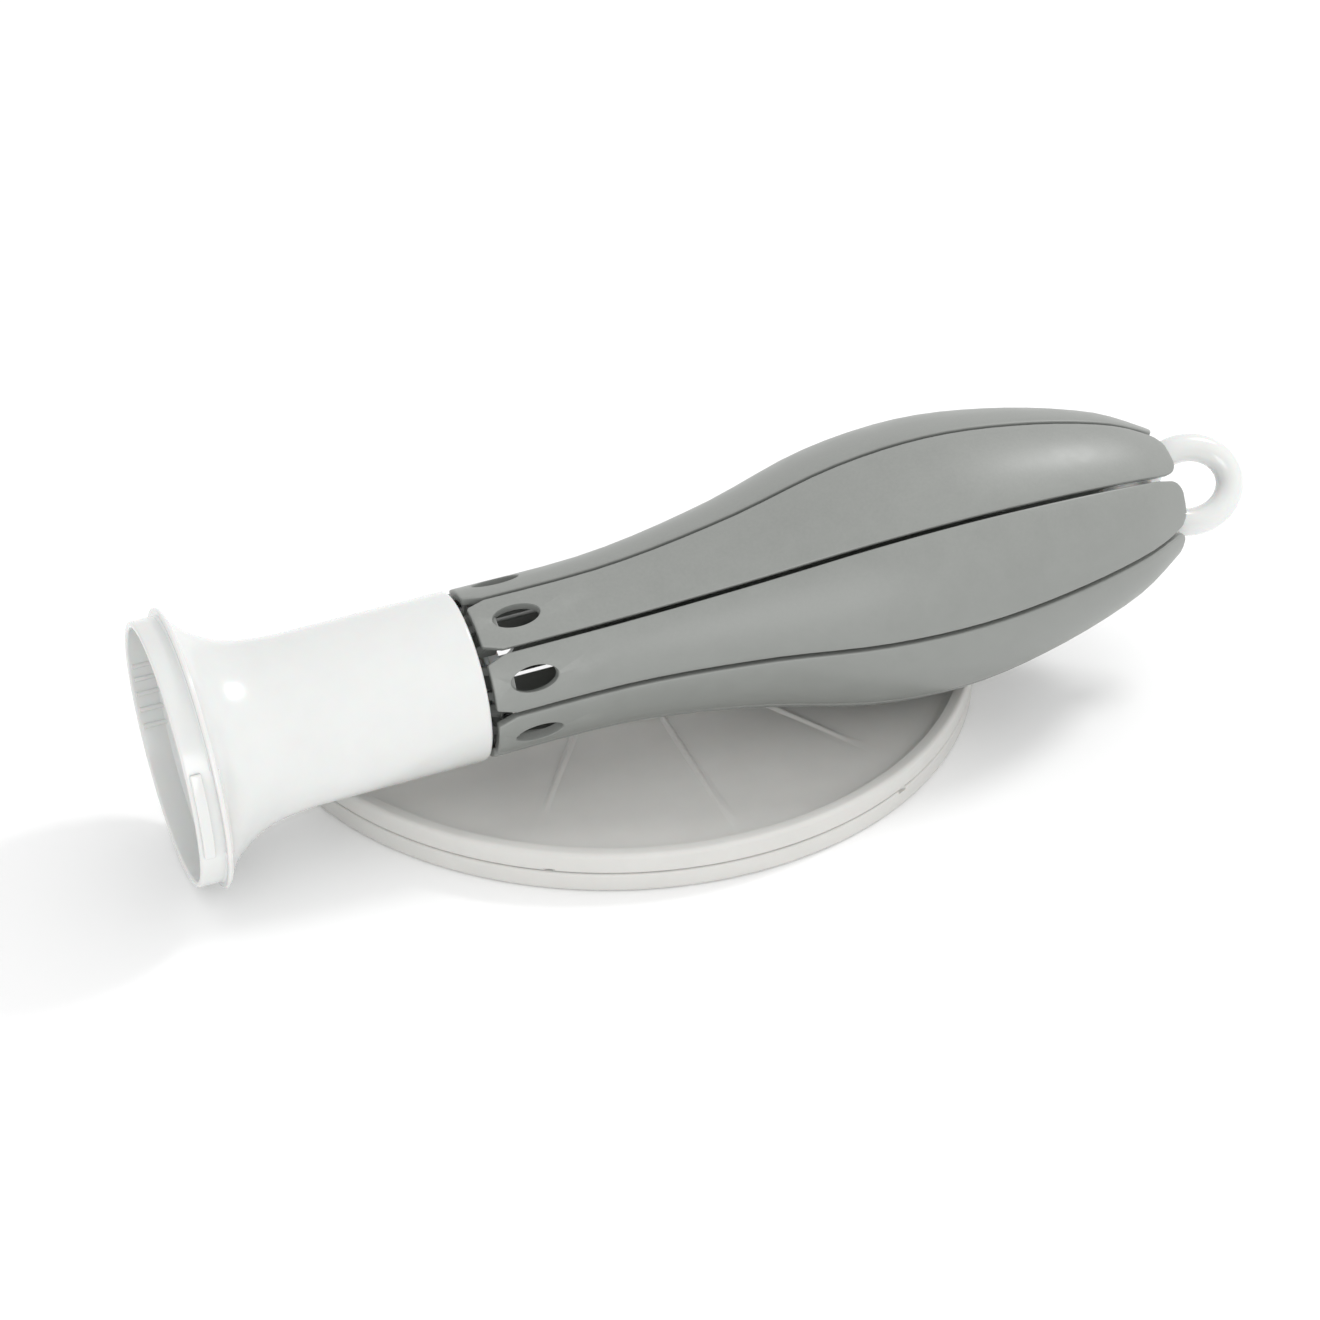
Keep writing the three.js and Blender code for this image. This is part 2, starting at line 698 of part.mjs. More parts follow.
function pullSpool() {
  const bore = rod.radius + CLEARANCE;
  const floor = spool.flangeRadius - spool.grooveDepth;
  const body = turned([
    [spoolBottom, bore],
    [spoolBottom, spool.flangeRadius],
    [spoolBottom + spool.flangeWidth, spool.flangeRadius],
    [spoolBottom + spool.flangeWidth, floor],
    [spoolTop - spool.flangeWidth, floor],
    [spoolTop - spool.flangeWidth, spool.flangeRadius],
    [spoolTop, spool.flangeRadius],
    [spoolTop, spool.bossRadius],
    [spoolTop + spool.bossLength, spool.bossRadius],
    [spoolTop + spool.bossLength, bore],
  ], 28);
  const heights = crossPinHeights();
  const hole = crossPin(spool.crossPin + CLEARANCE, spool.bossRadius + 1, heights.spool, 0);
  return piece('pull_spool', shaped(body, { cut: [hole] }), whitePlastic);
}

// The loop is a ring drawn out along the axis; its neck slips over the rod's end.
function pullRing() {
  const loop = new THREE.TorusGeometry(ring.across, ring.tube, 10, 24);
  const positions = loop.attributes.position;
  for (let i = 0; i < positions.count; i += 1) {
    const around = Math.atan2(positions.getY(i), positions.getX(i));
    positions.setX(i, positions.getX(i) + (ring.along - ring.across) * Math.cos(around));
  }
  loop.rotateZ(Math.PI / 2).rotateX(Math.PI / 2).translate(0, 0, ringMiddle);
  const neckFrom = rodTop - ring.neckLength;
  const neck = bar(ring.neckRadius, neckFrom, ringMiddle - ring.along + ring.tube / 2);
  const bore = bar(rod.radius + CLEARANCE, neckFrom - 1, rodTop + CLEARANCE);
  const hole = crossPin(ring.crossPin + CLEARANCE, ring.neckRadius + 2, crossPinHeights().ring, 0);
  const geometry = shaped(loop, { join: [neck], cut: [bore, hole] });
  return piece('pull_ring', geometry.rotateZ(radians(ring.turn)), whitePlastic);
}

function puller() {
  const group = new THREE.Group();
  const stop = turned([
    [rodBottom, rod.radius - rod.neckDown + CLEARANCE],
    [rodBottom, rod.stopRadius],
    [rodBottom + rod.stopWidth, rod.stopRadius],
    [rodBottom + rod.stopWidth, rod.radius - rod.neckDown + CLEARANCE],
  ], 28);
  const heights = crossPinHeights();
  group.add(
    pullRod(),
    pullSpool(),
    pullRing(),
    piece('rod_stop', stop, whitePlastic),
    piece('spool_cross_pin', crossPin(spool.crossPin, spool.bossRadius - 0.2, heights.spool, 0), steel),
    piece('ring_cross_pin', crossPin(ring.crossPin, ring.neckRadius - 0.2, heights.ring, ring.turn), steel),
  );
  return group;
}

// ---------------------------------------------------------------- putting it together

// The tree lies with its flange on the table and its belly over the tray, at the steepest slope that
// any place along the tray's rim or floor asks for.
function restingRise() {
  const rim = tray.radius - tray.rimInset;
  const slopes = petalCurve.getPoints(RIM_STEPS).map(({ x: along, y: radius }) => {
    const ahead = Math.min(Math.abs(along - lying.along), rim);
    const side = lying.behind - Math.sqrt(rim ** 2 - ahead ** 2);
    const overRim = trayTop + Math.sqrt(Math.max(radius ** 2 - side ** 2, 0));
    const overFloor = tray.thickness + tray.floor + radius;
    return (Math.max(overRim, overFloor) + lying.play - flange.radius) / along;
  });
  return Math.atan(Math.max(...slopes));
}

const rise = restingRise();
const tree = new THREE.Group();
tree.rotation.y = Math.PI / 2 - rise;
tree.position.z = flange.radius * Math.cos(rise);
tree.add(stemPiece(), hubPiece(), ...hubScrews(), rodBush(), petals(), puller());

const base = foldedTray();
base.position.set(lying.along, lying.behind, tray.thickness);

const rack = new THREE.Group();
rack.add(base, tree);
rack.updateMatrixWorld(true);

const bounds = new THREE.Box3().setFromObject(rack, true);
const middle = bounds.getCenter(new THREE.Vector3());
rack.position.set(-middle.x, -middle.y, -bounds.min.z);
rack.updateMatrixWorld(true);

export default rack;
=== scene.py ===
"""Looks of a folding bottle-drying rack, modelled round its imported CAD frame.

The rack lies folded. A tree of eight hinged petals, with a flared stem at one end and a pull ring at
the other, rests on a round tray that is folded in half under it. Everything is in metres.

Tree pieces are modelled upright, with +Z along the tree's axis from the lip of its foot, +X towards
the ground and +Y towards the tray's fold line, and are then laid down. Tray halves are modelled about
the fold line: X along it, Y away from the user, Z = 0 in the seam between the halves.
"""

import json
import math

import bmesh
import bpy
from bpy.props import FloatProperty, FloatVectorProperty, IntProperty, PointerProperty
from mathutils import Matrix, Vector


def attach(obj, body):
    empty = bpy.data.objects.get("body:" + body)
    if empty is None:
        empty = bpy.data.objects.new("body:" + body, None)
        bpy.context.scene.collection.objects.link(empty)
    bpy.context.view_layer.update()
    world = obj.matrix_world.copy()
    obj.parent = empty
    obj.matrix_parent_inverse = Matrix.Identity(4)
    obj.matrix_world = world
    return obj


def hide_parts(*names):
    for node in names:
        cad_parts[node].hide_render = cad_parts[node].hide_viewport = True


bl_info = {
    "name": "Folding Drying Rack",
    "version": (1, 0, 0),
    "blender": (4, 5, 0),
    "location": "View3D > Sidebar > Drying Rack",
    "description": "Models the looks of a folding bottle-drying rack round its CAD frame",
    "category": "Object",
}

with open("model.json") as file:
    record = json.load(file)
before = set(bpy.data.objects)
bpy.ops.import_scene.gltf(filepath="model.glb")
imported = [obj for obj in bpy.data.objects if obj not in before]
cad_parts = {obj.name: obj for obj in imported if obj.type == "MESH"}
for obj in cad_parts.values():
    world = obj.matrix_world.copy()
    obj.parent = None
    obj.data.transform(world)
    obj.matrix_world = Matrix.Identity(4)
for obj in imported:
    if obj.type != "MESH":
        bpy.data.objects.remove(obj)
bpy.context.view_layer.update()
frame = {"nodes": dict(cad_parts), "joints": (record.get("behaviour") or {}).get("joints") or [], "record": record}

MM = 0.001
ROUND = 128  # facets round the large turned pieces
SMALL_ROUND = 40  # facets round rods, pins and bores
MERGE = 1e-6  # vertices closer than this are one
SLIVER = 0.5 * MM  # thin leftovers of a cut sheet are merged up to this
PLAY = 0.3 * MM  # clearance between pieces that touch or run in each other
SMOOTH_BELOW = 32  # degrees: edges sharper than this keep a crease in the shading
CRANK_LEAN = math.radians(27.5)  # lean of the petals' cranks from square to the axis
CROSS_PIN_BORE = 1.4 * MM  # radius of the holes for the ring's and the spool's cross pins

# ---------------------------------------------------------------- places taken from the frame

JOINTS = {joint["name"]: joint for joint in frame["joints"]}
PETAL_COUNT = sum(name.startswith("petal_") for name in JOINTS)
PETAL_PINS = [Vector(JOINTS[f"petal_{i + 1}_open"]["pos_m"]) for i in range(PETAL_COUNT)]
PETAL_PITCH = 2 * math.pi / PETAL_COUNT
TREE_AXIS = Vector(JOINTS["ring_pull"]["axis"]).normalized()
BACK = Vector((0, 1, 0))
DOWN = BACK.cross(TREE_AXIS).normalized()
FOLD_LINE = Vector(JOINTS["tray_unfold"]["pos_m"])
PIVOT_AT = 94.2 * MM  # from the lip of the foot to the petals' pins
LIP = sum(PETAL_PINS, Vector()) / PETAL_COUNT - PIVOT_AT * TREE_AXIS

TREE = Matrix.Translation(LIP) @ Matrix((DOWN, BACK, TREE_AXIS)).transposed().to_4x4()
TRAY = Matrix.Translation(FOLD_LINE)


def arm_angle(pin):
    """Angle round the tree's axis, from straight down, of the petal that turns on this pin."""
    out = pin - LIP - PIVOT_AT * TREE_AXIS
    return math.atan2(out.dot(BACK), out.dot(DOWN))


# ---------------------------------------------------------------- sizes and colours a user may change


def length(name, description, default):
    return FloatProperty(
        name=name, description=description, default=default * MM, min=0, unit="LENGTH", subtype="DISTANCE"
    )


def colour(name, description, default):
    return FloatVectorProperty(
        name=name, description=description, default=default, size=3, min=0, max=1, subtype="COLOR"
    )


def share(name, description, default):
    return FloatProperty(
        name=name, description=description, default=default, min=0, max=1, subtype="FACTOR"
    )


def turned_by(name, description, degrees):
    return FloatProperty(
        name=name, description=description, default=math.radians(degrees), subtype="ANGLE"
    )


def amount_of(name, description, default):
    return FloatProperty(name=name, description=description, default=default, min=0)


class RackTraySizes(bpy.types.PropertyGroup):
    radius: length("Radius", "Radius of the opened tray", 120)
    thickness: length("Thickness", "Thickness of each half over its rim", 7)
    floor: length("Floor", "Thickness inside the rim", 3.9)
    rim_inset: length("Rim inset", "From the outer wall to the top of the rim", 1.6)
    rim_width: length("Rim width", "Flat top of the rim", 2.2)
    rim_slope: length("Rim slope", "Width of the slope from the rim to the floor", 3)
    edge: length("Edge", "Rounding of the edge at the seam", 0.8)
    socket: length("Socket", "Radius of the socket that the foot turns into", 41.8)
    seat_width: length("Seat width", "Width of the raised seat round the socket", 4)
    seat_rise: length("Seat rise", "Height of the seat over the floor", 1.4)
    ribs: IntProperty(name="Ribs", description="Raised ribs on each half", default=5, min=1)
    rib_pitch: turned_by("Rib pitch", "Angle between ribs", 33)
    rib_width: length("Rib width", "Width of a rib at its foot", 2.6)
    rib_height: length("Rib height", "Height of a rib over the floor", 1)
    rib_reach: length("Rib reach", "Distance from the centre at which a rib has faded out", 97)
    notch: length("Thumb notch", "Depth of the thumb notch in the outer edge", 1.2)
    notch_angle: turned_by("Notch angle", "From the middle rib", -29.5)
    hinge_offset: length("Hinge offset", "From the tray's centre to the middle of a hinge", 78)
    knuckle: length("Knuckle", "Length of a knuckle", 9)
    barrel: length("Barrel", "Outer radius of a knuckle", 3)
    hinge_pin: length("Hinge pin", "Radius of a hinge pin", 1.3)


class RackStemSizes(bpy.types.PropertyGroup):
    lip_radius: length("Lip radius", "Radius of the foot's lip", 43.8)
    lip: length("Lip", "Thickness of the foot's lip", 1.3)
    collar_radius: length("Collar radius", "Outer radius of the collar", 41.5)
    collar_wall: length("Collar wall", "Thickness of the collar", 2)
    collar_depth: length("Collar depth", "How far the collar stands out past the lip", 8.5)
    neck_radius: length("Neck radius", "Radius of the straight neck", 27)
    wall: length("Wall", "Wall thickness of the stem", 2.6)
    flare: length("Flare", "From the lip to the straight part", 32)
    length: length("Length", "From the lip to the neck's end", 88)
    neck_edge: length("Neck edge", "Rounding of the neck's end", 1.3)
    lug_height: length("Lug height", "Height of the bayonet lugs", 1.5)
    lug_width: length("Lug width", "Width of the bayonet lugs", 3.4)
    lug_span: turned_by("Lug span", "Arc of a lug", 40)
    lug_angle: turned_by("Lug angle", "From straight down", -96)


class RackPetalSizes(bpy.types.PropertyGroup):
    start: length("Start", "From the lip to the petals' neck ends", 90)
    length: length("Length", "Length of a petal", 236.5)
    neck_radius: length("Neck radius", "Radius at the neck", 26.8)
    belly_radius: length("Belly radius", "Radius at the widest place", 44.4)
    belly_at: length("Belly place", "From the neck end to the widest place", 155)
    tip_radius: length("Tip radius", "Radius at the tips", 22)
    wall: length("Wall", "Wall thickness of a petal", 3)
    gap: length("Gap", "Gap between neighbouring petals", 1.5)
    edge: length("Edge", "Rounding of a petal's edges", 1.45)
    tip_corner: length("Tip corner", "Radius of the tip's two corners", 6)
    hole_length: length("Hole length", "Length of the hole in the neck", 15)
    hole_width: length("Hole width", "Width of the hole in the neck", 8)
    hole_at: length("Hole place", "From the neck end to the hole's middle", 13.3)
    pivot_radius: length("Pivot radius", "From the axis to a petal's pin", 21)
    tongue: length("Tongue", "Thickness of a petal's root", 4.8)
    crank: length("Crank", "From the pin to the middle of the crank's tip", 9)


class RackPullSizes(bpy.types.PropertyGroup):
    tube: length("Tube", "Radius of the ring's round section", 4.6)
    across: length("Across", "Half width of the loop, to the middle of the section", 12.2)
    along: length("Along", "Half length of the loop, to the middle of the section", 15)
    end: length("End", "From the lip to the ring's far end", 357.8)
    turn: turned_by("Turn", "Turn of the ring", -40)
    neck_radius: length("Neck radius", "Radius of the ring's neck", 5.6)
    neck_length: length("Neck length", "How far the neck reaches down the rod", 14)
    rod_radius: length("Rod radius", "Radius of the pull rod", 3.2)
    spool_radius: length("Spool radius", "Radius of the spool's flanges", 14.5)


class RackFinishes(bpy.types.PropertyGroup):
    white: colour("White plastic", "Stem, ring, spool and bush", (0.66, 0.67, 0.66))
    petal: colour("Petal plastic", "The petals", (0.225, 0.234, 0.222))
    tray: colour("Tray plastic", "Both halves of the tray", (0.56, 0.555, 0.535))
    inner: colour("Inner plastic", "The hinge hub", (0.20, 0.21, 0.20))
    # Painted shade: the steel is set far darker than bright steel, so that the pins in the petals' neck holes read
    # as dark as the shade there.
    steel: colour("Steel", "Pins, screws and the rod", (0.22, 0.22, 0.225))
    dust: colour("Dust", "Fine dust on the plastic", (0.62, 0.60, 0.56))
    # Painted highlight: how far the outer edges are painted lighter, partly as wear and partly as the light lines
    # along rounded edges.
    wear_and_highlight: share("Edge wear and highlight", "How far the edges are painted lighter, as wear and highlight", 0.18)


class RackStage(bpy.types.PropertyGroup):
    azimuth: turned_by("Azimuth", "Camera's turn", -20.91)
    elevation: turned_by("Elevation", "Camera's height angle", 34.89)
    distance: FloatProperty(name="Distance", description="Camera to target", default=1.150, unit="LENGTH")
    target: FloatVectorProperty(
        name="Target",
        description="Where the camera looks",
        default=(-0.0013, 0.0569, 0.0),
        subtype="TRANSLATION",
    )
    lens: FloatProperty(name="Lens", description="Focal length in mm", default=93.4, min=1)
    floor: colour("Floor", "The pale floor", (0.93, 0.93, 0.93))
    sky: amount_of("Sky", "Strength of the white surroundings", 1.0)
    key: amount_of("Key light", "Power of the main soft light, in watts", 8)
    fill: amount_of("Fill light", "Power of the side light, in watts", 7)


# ---------------------------------------------------------------- modelling steps


def activate(piece):
    bpy.ops.object.select_all(action="DESELECT")
    piece.select_set(True)
    bpy.context.view_layer.objects.active = piece


def edit(piece):
    activate(piece)
    bpy.ops.object.mode_set(mode="EDIT")
    bpy.ops.mesh.select_all(action="SELECT")


def done():
    bpy.ops.object.mode_set(mode="OBJECT")


def tidy_mesh(piece):
    """Merges doubles and turns the faces of a closed shape outwards."""
    edit(piece)
    bpy.ops.mesh.remove_doubles(threshold=MERGE)
    bpy.ops.mesh.normals_make_consistent(inside=False)
    done()


def named(name):
    """The primitive that was just added, under its own name."""
    piece = bpy.context.object
    piece.name = piece.data.name = name
    return piece


def draw(name, points):
    """Draws a chain of edges through the points, starting from a plane merged to one vertex."""
    bpy.ops.object.select_all(action="DESELECT")
    bpy.ops.mesh.primitive_plane_add(size=MM)
    piece = named(name)
    edit(piece)
    bpy.ops.mesh.merge(type="CENTER")
    bpy.ops.transform.translate(value=points[0])
    for start, end in zip(points, points[1:]):
        bpy.ops.mesh.extrude_vertices_move(TRANSFORM_OT_translate={"value": end - start})
    done()
    return piece


def turn(name, profile, steps=ROUND):
    """Turns a closed profile of (height, radius) points round the Z axis."""
    points = [Vector((radius, 0, height)) for height, radius in profile]
    piece = draw(name, points + [points[0]])
    edit(piece)
    bpy.ops.mesh.remove_doubles(threshold=MERGE)
    bpy.ops.mesh.spin(steps=steps, angle=2 * math.pi, center=(0, 0, 0), axis=(0, 0, 1))
    done()
    tidy_mesh(piece)
    return piece


def slab(name, outline, thickness):
    """A plate that stands in the X-Z plane. Its outline is (x, z) points, and Y is its thickness."""
    piece = draw(name, [Vector((x, -thickness / 2, z)) for x, z in outline])
    edit(piece)
    bpy.ops.mesh.edge_face_add()
    bpy.ops.mesh.extrude_region_move(TRANSFORM_OT_translate={"value": (0, thickness, 0)})
    done()
    tidy_mesh(piece)
    return piece


def rod(name, radius, ends, direction="Z", facets=SMALL_ROUND):
    """A round bar from one end to the other along an axis of the piece's own frame."""
    low, high = ends
    quarter = math.pi / 2
    axis, rotation = {
        "X": (Vector((1, 0, 0)), (0, quarter, 0)),
        "Y": (Vector((0, 1, 0)), (quarter, 0, 0)),
        "Z": (Vector((0, 0, 1)), (0, 0, 0)),
    }[direction]
    middle = axis * (low + high) / 2
    bpy.ops.object.select_all(action="DESELECT")
    bpy.ops.mesh.primitive_cylinder_add(
        vertices=facets, radius=radius, depth=high - low, location=middle, rotation=rotation
    )
    bpy.ops.object.transform_apply(location=True, rotation=True, scale=True)
    return named(name)


def block(name, low, high):
    low, high = Vector(low), Vector(high)
    bpy.ops.object.select_all(action="DESELECT")
    bpy.ops.mesh.primitive_cube_add(size=1, location=(low + high) / 2, scale=high - low)
    bpy.ops.object.transform_apply(location=True, rotation=True, scale=True)
    return named(name)


def arc_block(name, radii, heights, middle, span, rounding=0.0):
    """Part of a ring round Z, turned from a rectangle through an angle and rounded."""
    inner, outer = radii
    low, high = heights
    steps = 24
    corners = [(inner, low), (outer, low), (outer, high), (inner, high), (inner, low)]
    piece = draw(name, [Vector((radius, 0, height)) for radius, height in corners])
    edit(piece)
    bpy.ops.mesh.remove_doubles(threshold=MERGE)
    bpy.ops.mesh.spin(steps=steps, angle=span, center=(0, 0, 0), axis=(0, 0, 1))
    bpy.ops.mesh.select_all(action="SELECT")
    bpy.ops.mesh.fill_holes(sides=0)
    done()
    tidy_mesh(piece)
    place(piece, Matrix.Rotation(middle + span / 2, 4, "Z"))
    if rounding:
        soften(piece, rounding)
    return piece


def place(piece, matrix):
    """Moves a piece and applies the move, so that its object stays at the origin."""
    activate(piece)
    piece.matrix_world = matrix
    bpy.ops.object.transform_apply(location=True, rotation=True, scale=True)
    return piece


def copied(piece, name, matrix):
    """A copy with its own mesh, at another place."""
    activate(piece)
    bpy.ops.object.duplicate(linked=False)
    return place(named(name), matrix)


def apply_modifier(piece, kind, **settings):
    modifier = piece.modifiers.new(kind.title(), kind)
    for key, value in settings.items():
        setattr(modifier, key, value)
    activate(piece)
    bpy.ops.object.modifier_apply(modifier=modifier.name)


def soften(piece, width, limit=60, segments=3):
    """Rounds the edges that are sharper than the limit, in degrees."""
    apply_modifier(
        piece,
        "BEVEL",
        width=width,
        segments=segments,
        limit_method="ANGLE",
        angle_limit=math.radians(limit),
        use_clamp_overlap=True,
        harden_normals=False,
    )


def combine(piece, operation, *others):
    """Joins other shapes to a piece, or cuts them from it, and removes them."""
    for other in others:
        apply_modifier(piece, "BOOLEAN", operation=operation, solver="EXACT", object=other)
        bpy.data.objects.remove(other)


def join(piece, *others):
    combine(piece, "UNION", *others)


def cut(piece, *others):
    combine(piece, "DIFFERENCE", *others)


def cut_plane(point, normal, fill=False):
    """Cuts away what lies past a plane from the mesh that is being edited."""
    bpy.ops.mesh.select_all(action="SELECT")
    bpy.ops.mesh.bisect(plane_co=point, plane_no=normal, clear_outer=True, use_fill=fill)


def arc(middle, radius, start, end, steps=5):
    """(height, radius) points on a round corner. Angles are in degrees, 0 along +height."""
    height, out = middle
    turns = [math.radians(start + (end - start) * i / steps) for i in range(steps + 1)]
    return [(height + radius * math.cos(a), out + radius * math.sin(a)) for a in turns]


def curve_through(points, steps):
    """A smooth curve through the points, with the given number of steps in all."""
    spans = len(points) - 1
    curve = []
    for i in range(steps + 1):
        at = spans * i / steps
        k = min(int(at), spans - 1)
        t = at - k
        p0, p1 = Vector(points[max(k - 1, 0)]), Vector(points[k])
        p2, p3 = Vector(points[k + 1]), Vector(points[min(k + 2, spans)])
        out, back = (p2 - p0) / 2, (p3 - p1) / 2
        cubic, square = 2 * p1 - 2 * p2 + out + back, 3 * p2 - 3 * p1 - 2 * out - back
        curve.append(cubic * t**3 + square * t**2 + out * t + p1)
    return curve


def inwards(curve, wall):
    """The curve shifted towards the axis by a wall's thickness."""
    shifted = []
    for i, point in enumerate(curve):
        along = (curve[min(i + 1, len(curve) - 1)] - curve[max(i - 1, 0)]).normalized()
        shifted.append(Vector((point.x + along.y * wall, point.y - along.x * wall)))
    return shifted


def hand_over(piece, body, slot, node):
    """Shades a finished piece, gives it its finish and lets it ride on its body."""
    activate(piece)
    bpy.ops.object.shade_smooth_by_angle(angle=math.radians(SMOOTH_BELOW))
    piece.data.materials.clear()
    piece.data.materials.append(FINISHES[slot])
    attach(piece, body)
    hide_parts(node)


# ---------------------------------------------------------------- shared effects


def new_group(name, inputs, outputs):
    """A shader node group with named float or colour inputs and outputs."""
    group = bpy.data.node_groups.new(name, "ShaderNodeTree")
    for socket, kind, default in inputs:
        made = group.interface.new_socket(name=socket, in_out="INPUT", socket_type=kind)
        made.default_value = default
    for socket, kind in outputs:
        group.interface.new_socket(name=socket, in_out="OUTPUT", socket_type=kind)
    return group, group.nodes.new("NodeGroupInput"), group.nodes.new("NodeGroupOutput")


def math_node(tree, operation, first, second, clamp=False):
    node = tree.nodes.new("ShaderNodeMath")
    node.operation = operation
    node.use_clamp = clamp
    for socket, value in zip(node.inputs, (first, second)):
        feed(tree, socket, value)
    return node.outputs[0]


def feed(tree, socket, value):
    """Sets a socket to a plain value, or links it to another socket."""
    if isinstance(value, bpy.types.NodeSocket):
        tree.links.new(value, socket)
    else:
        socket.default_value = value


def noise(tree, scale, detail, roughness=0.5):
    place_node = tree.nodes.new("ShaderNodeTexCoord")
    node = tree.nodes.new("ShaderNodeTexNoise")
    tree.links.new(place_node.outputs["Object"], node.inputs["Vector"])
    feed(tree, node.inputs["Scale"], scale)
    node.inputs["Detail"].default_value = detail
    node.inputs["Roughness"].default_value = roughness
    return node.outputs["Fac"]


def spread(tree, value, low, high):
    """Maps the middle of a noise, 0.3 to 0.7, to the given range."""
    node = tree.nodes.new("ShaderNodeMapRange")
    feed(tree, node.inputs["Value"], value)
    for socket, number in (("From Min", 0.3), ("From Max", 0.7), ("To Min", low), ("To Max", high)):
        feed(tree, node.inputs[socket], number)
    return node.outputs["Result"]


def colour_mix(tree, factor, first, second, blend="MIX"):
    node = tree.nodes.new("ShaderNodeMix")
    node.data_type = "RGBA"
    node.blend_type = blend
    feed(tree, node.inputs["Factor"], factor)
    feed(tree, node.inputs["A"], first)
    feed(tree, node.inputs["B"], second)
    return node.outputs["Result"]


def moulded_surface_group():
    """Spark-eroded grain, slow unevenness of the skin and slight mottling of moulded plastic."""
    group, given, result = new_group(
        "moulded surface",
        [
            ("Color", "NodeSocketColor", (1, 1, 1, 1)),
            ("Mottling", "NodeSocketFloat", 0.03),
            ("Roughness", "NodeSocketFloat", 0.4),
            ("Roughness Spread", "NodeSocketFloat", 0.05),
            ("Grain Scale", "NodeSocketFloat", 2500.0),
            ("Grain Height", "NodeSocketFloat", 0.1),
            ("Waviness", "NodeSocketFloat", 0.05),
        ],
        [("Color", "NodeSocketColor"), ("Roughness", "NodeSocketFloat"), ("Normal", "NodeSocketVector")],
    )
    slow = noise(group, scale=26.0, detail=2.0)
    fine = noise(group, given.outputs["Grain Scale"], detail=2.0, roughness=0.6)
    patches = noise(group, scale=95.0, detail=4.0, roughness=0.6)
    tone = math_node(group, "ADD", 1.0, math_node(
        group, "MULTIPLY", spread(group, patches, -1.0, 1.0), given.outputs["Mottling"]))
    tinted = colour_mix(group, 1.0, given.outputs["Color"], tone, "MULTIPLY")
    rough = math_node(group, "ADD", given.outputs["Roughness"], math_node(
        group, "MULTIPLY", spread(group, patches, -1.0, 1.0), given.outputs["Roughness Spread"]), clamp=True)
    waves = group.nodes.new("ShaderNodeBump")
    waves.inputs["Distance"].default_value = 0.6 * MM
    feed(group, waves.inputs["Strength"], given.outputs["Waviness"])
    feed(group, waves.inputs["Height"], slow)
    grain = group.nodes.new("ShaderNodeBump")
    grain.inputs["Distance"].default_value = 0.05 * MM
    feed(group, grain.inputs["Strength"], given.outputs["Grain Height"])
    feed(group, grain.inputs["Height"], fine)
    feed(group, grain.inputs["Normal"], waves.outputs["Normal"])
    feed(group, result.inputs["Color"], tinted)
    feed(group, result.inputs["Roughness"], rough)
    feed(group, result.inputs["Normal"], grain.outputs["Normal"])


def edge_wear_and_highlight_group():
    """Paints the outer edges lighter, in a broken line: partly edge wear, partly a painted highlight along the
    edges.
    """
    group, given, result = new_group(
        "edge wear and painted highlight",
        [
            ("Color", "NodeSocketColor", (1, 1, 1, 1)),
            ("Worn Color", "NodeSocketColor", (1, 1, 1, 1)),
            ("Amount", "NodeSocketFloat", 0.2),
        ],
        [("Color", "NodeSocketColor")],
    )
    # Pointiness picks out the outer edges, which are painted lighter: partly wear, partly a painted highlight.
    shape = group.nodes.new("ShaderNodeNewGeometry")
    edges = group.nodes.new("ShaderNodeMapRange")
    feed(group, edges.inputs["Value"], shape.outputs["Pointiness"])
    feed(group, edges.inputs["From Min"], 0.52)
    feed(group, edges.inputs["From Max"], 0.60)
    broken = spread(group, noise(group, scale=330.0, detail=3.0, roughness=0.65), 0.2, 1.0)
    mask = math_node(group, "MULTIPLY", edges.outputs["Result"], broken, clamp=True)
    amount = math_node(group, "MULTIPLY", mask, given.outputs["Amount"], clamp=True)
    feed(group, result.inputs["Color"], colour_mix(
        group, amount, given.outputs["Color"], given.outputs["Worn Color"]))


def dust_group():
    """A trace of dust that settles on faces that look up."""
    group, given, result = new_group(
        "settled dust",
        [
            ("Color", "NodeSocketColor", (1, 1, 1, 1)),
            ("Dust Color", "NodeSocketColor", (0.6, 0.6, 0.6, 1)),
            ("Amount", "NodeSocketFloat", 0.05),
        ],
        [("Color", "NodeSocketColor"), ("Mask", "NodeSocketFloat")],
    )
    shape = group.nodes.new("ShaderNodeNewGeometry")
    parts = group.nodes.new("ShaderNodeSeparateXYZ")
    feed(group, parts.inputs[0], shape.outputs["Normal"])
    upward = math_node(group, "MAXIMUM", parts.outputs["Z"], 0.0)
    specks = spread(group, noise(group, scale=900.0, detail=4.0, roughness=0.7), 0.0, 1.0)
    mask = math_node(group, "MULTIPLY", upward, specks, clamp=True)
    amount = math_node(group, "MULTIPLY", mask, given.outputs["Amount"], clamp=True)
    feed(group, result.inputs["Color"], colour_mix(
        group, amount, given.outputs["Color"], given.outputs["Dust Color"]))
    feed(group, result.inputs["Mask"], amount)


# ---------------------------------------------------------------- finishes


def opaque(value):
    return (*value, 1.0)


def group_node(tree, name, **values):
    """Places a shared effect and gives it its values. Underscores in the keys stand for spaces."""
    node = tree.nodes.new("ShaderNodeGroup")
    node.node_tree = bpy.data.node_groups[name]
    for key, value in values.items():
        feed(tree, node.inputs[key.replace("_", " ")], value)
    return node


def new_finish(name, base):
    finish = bpy.data.materials.new(name)
    finish.use_nodes = True
    finish.diffuse_color = opaque(base)
    return finish, finish.node_tree, finish.node_tree.nodes["Principled BSDF"]


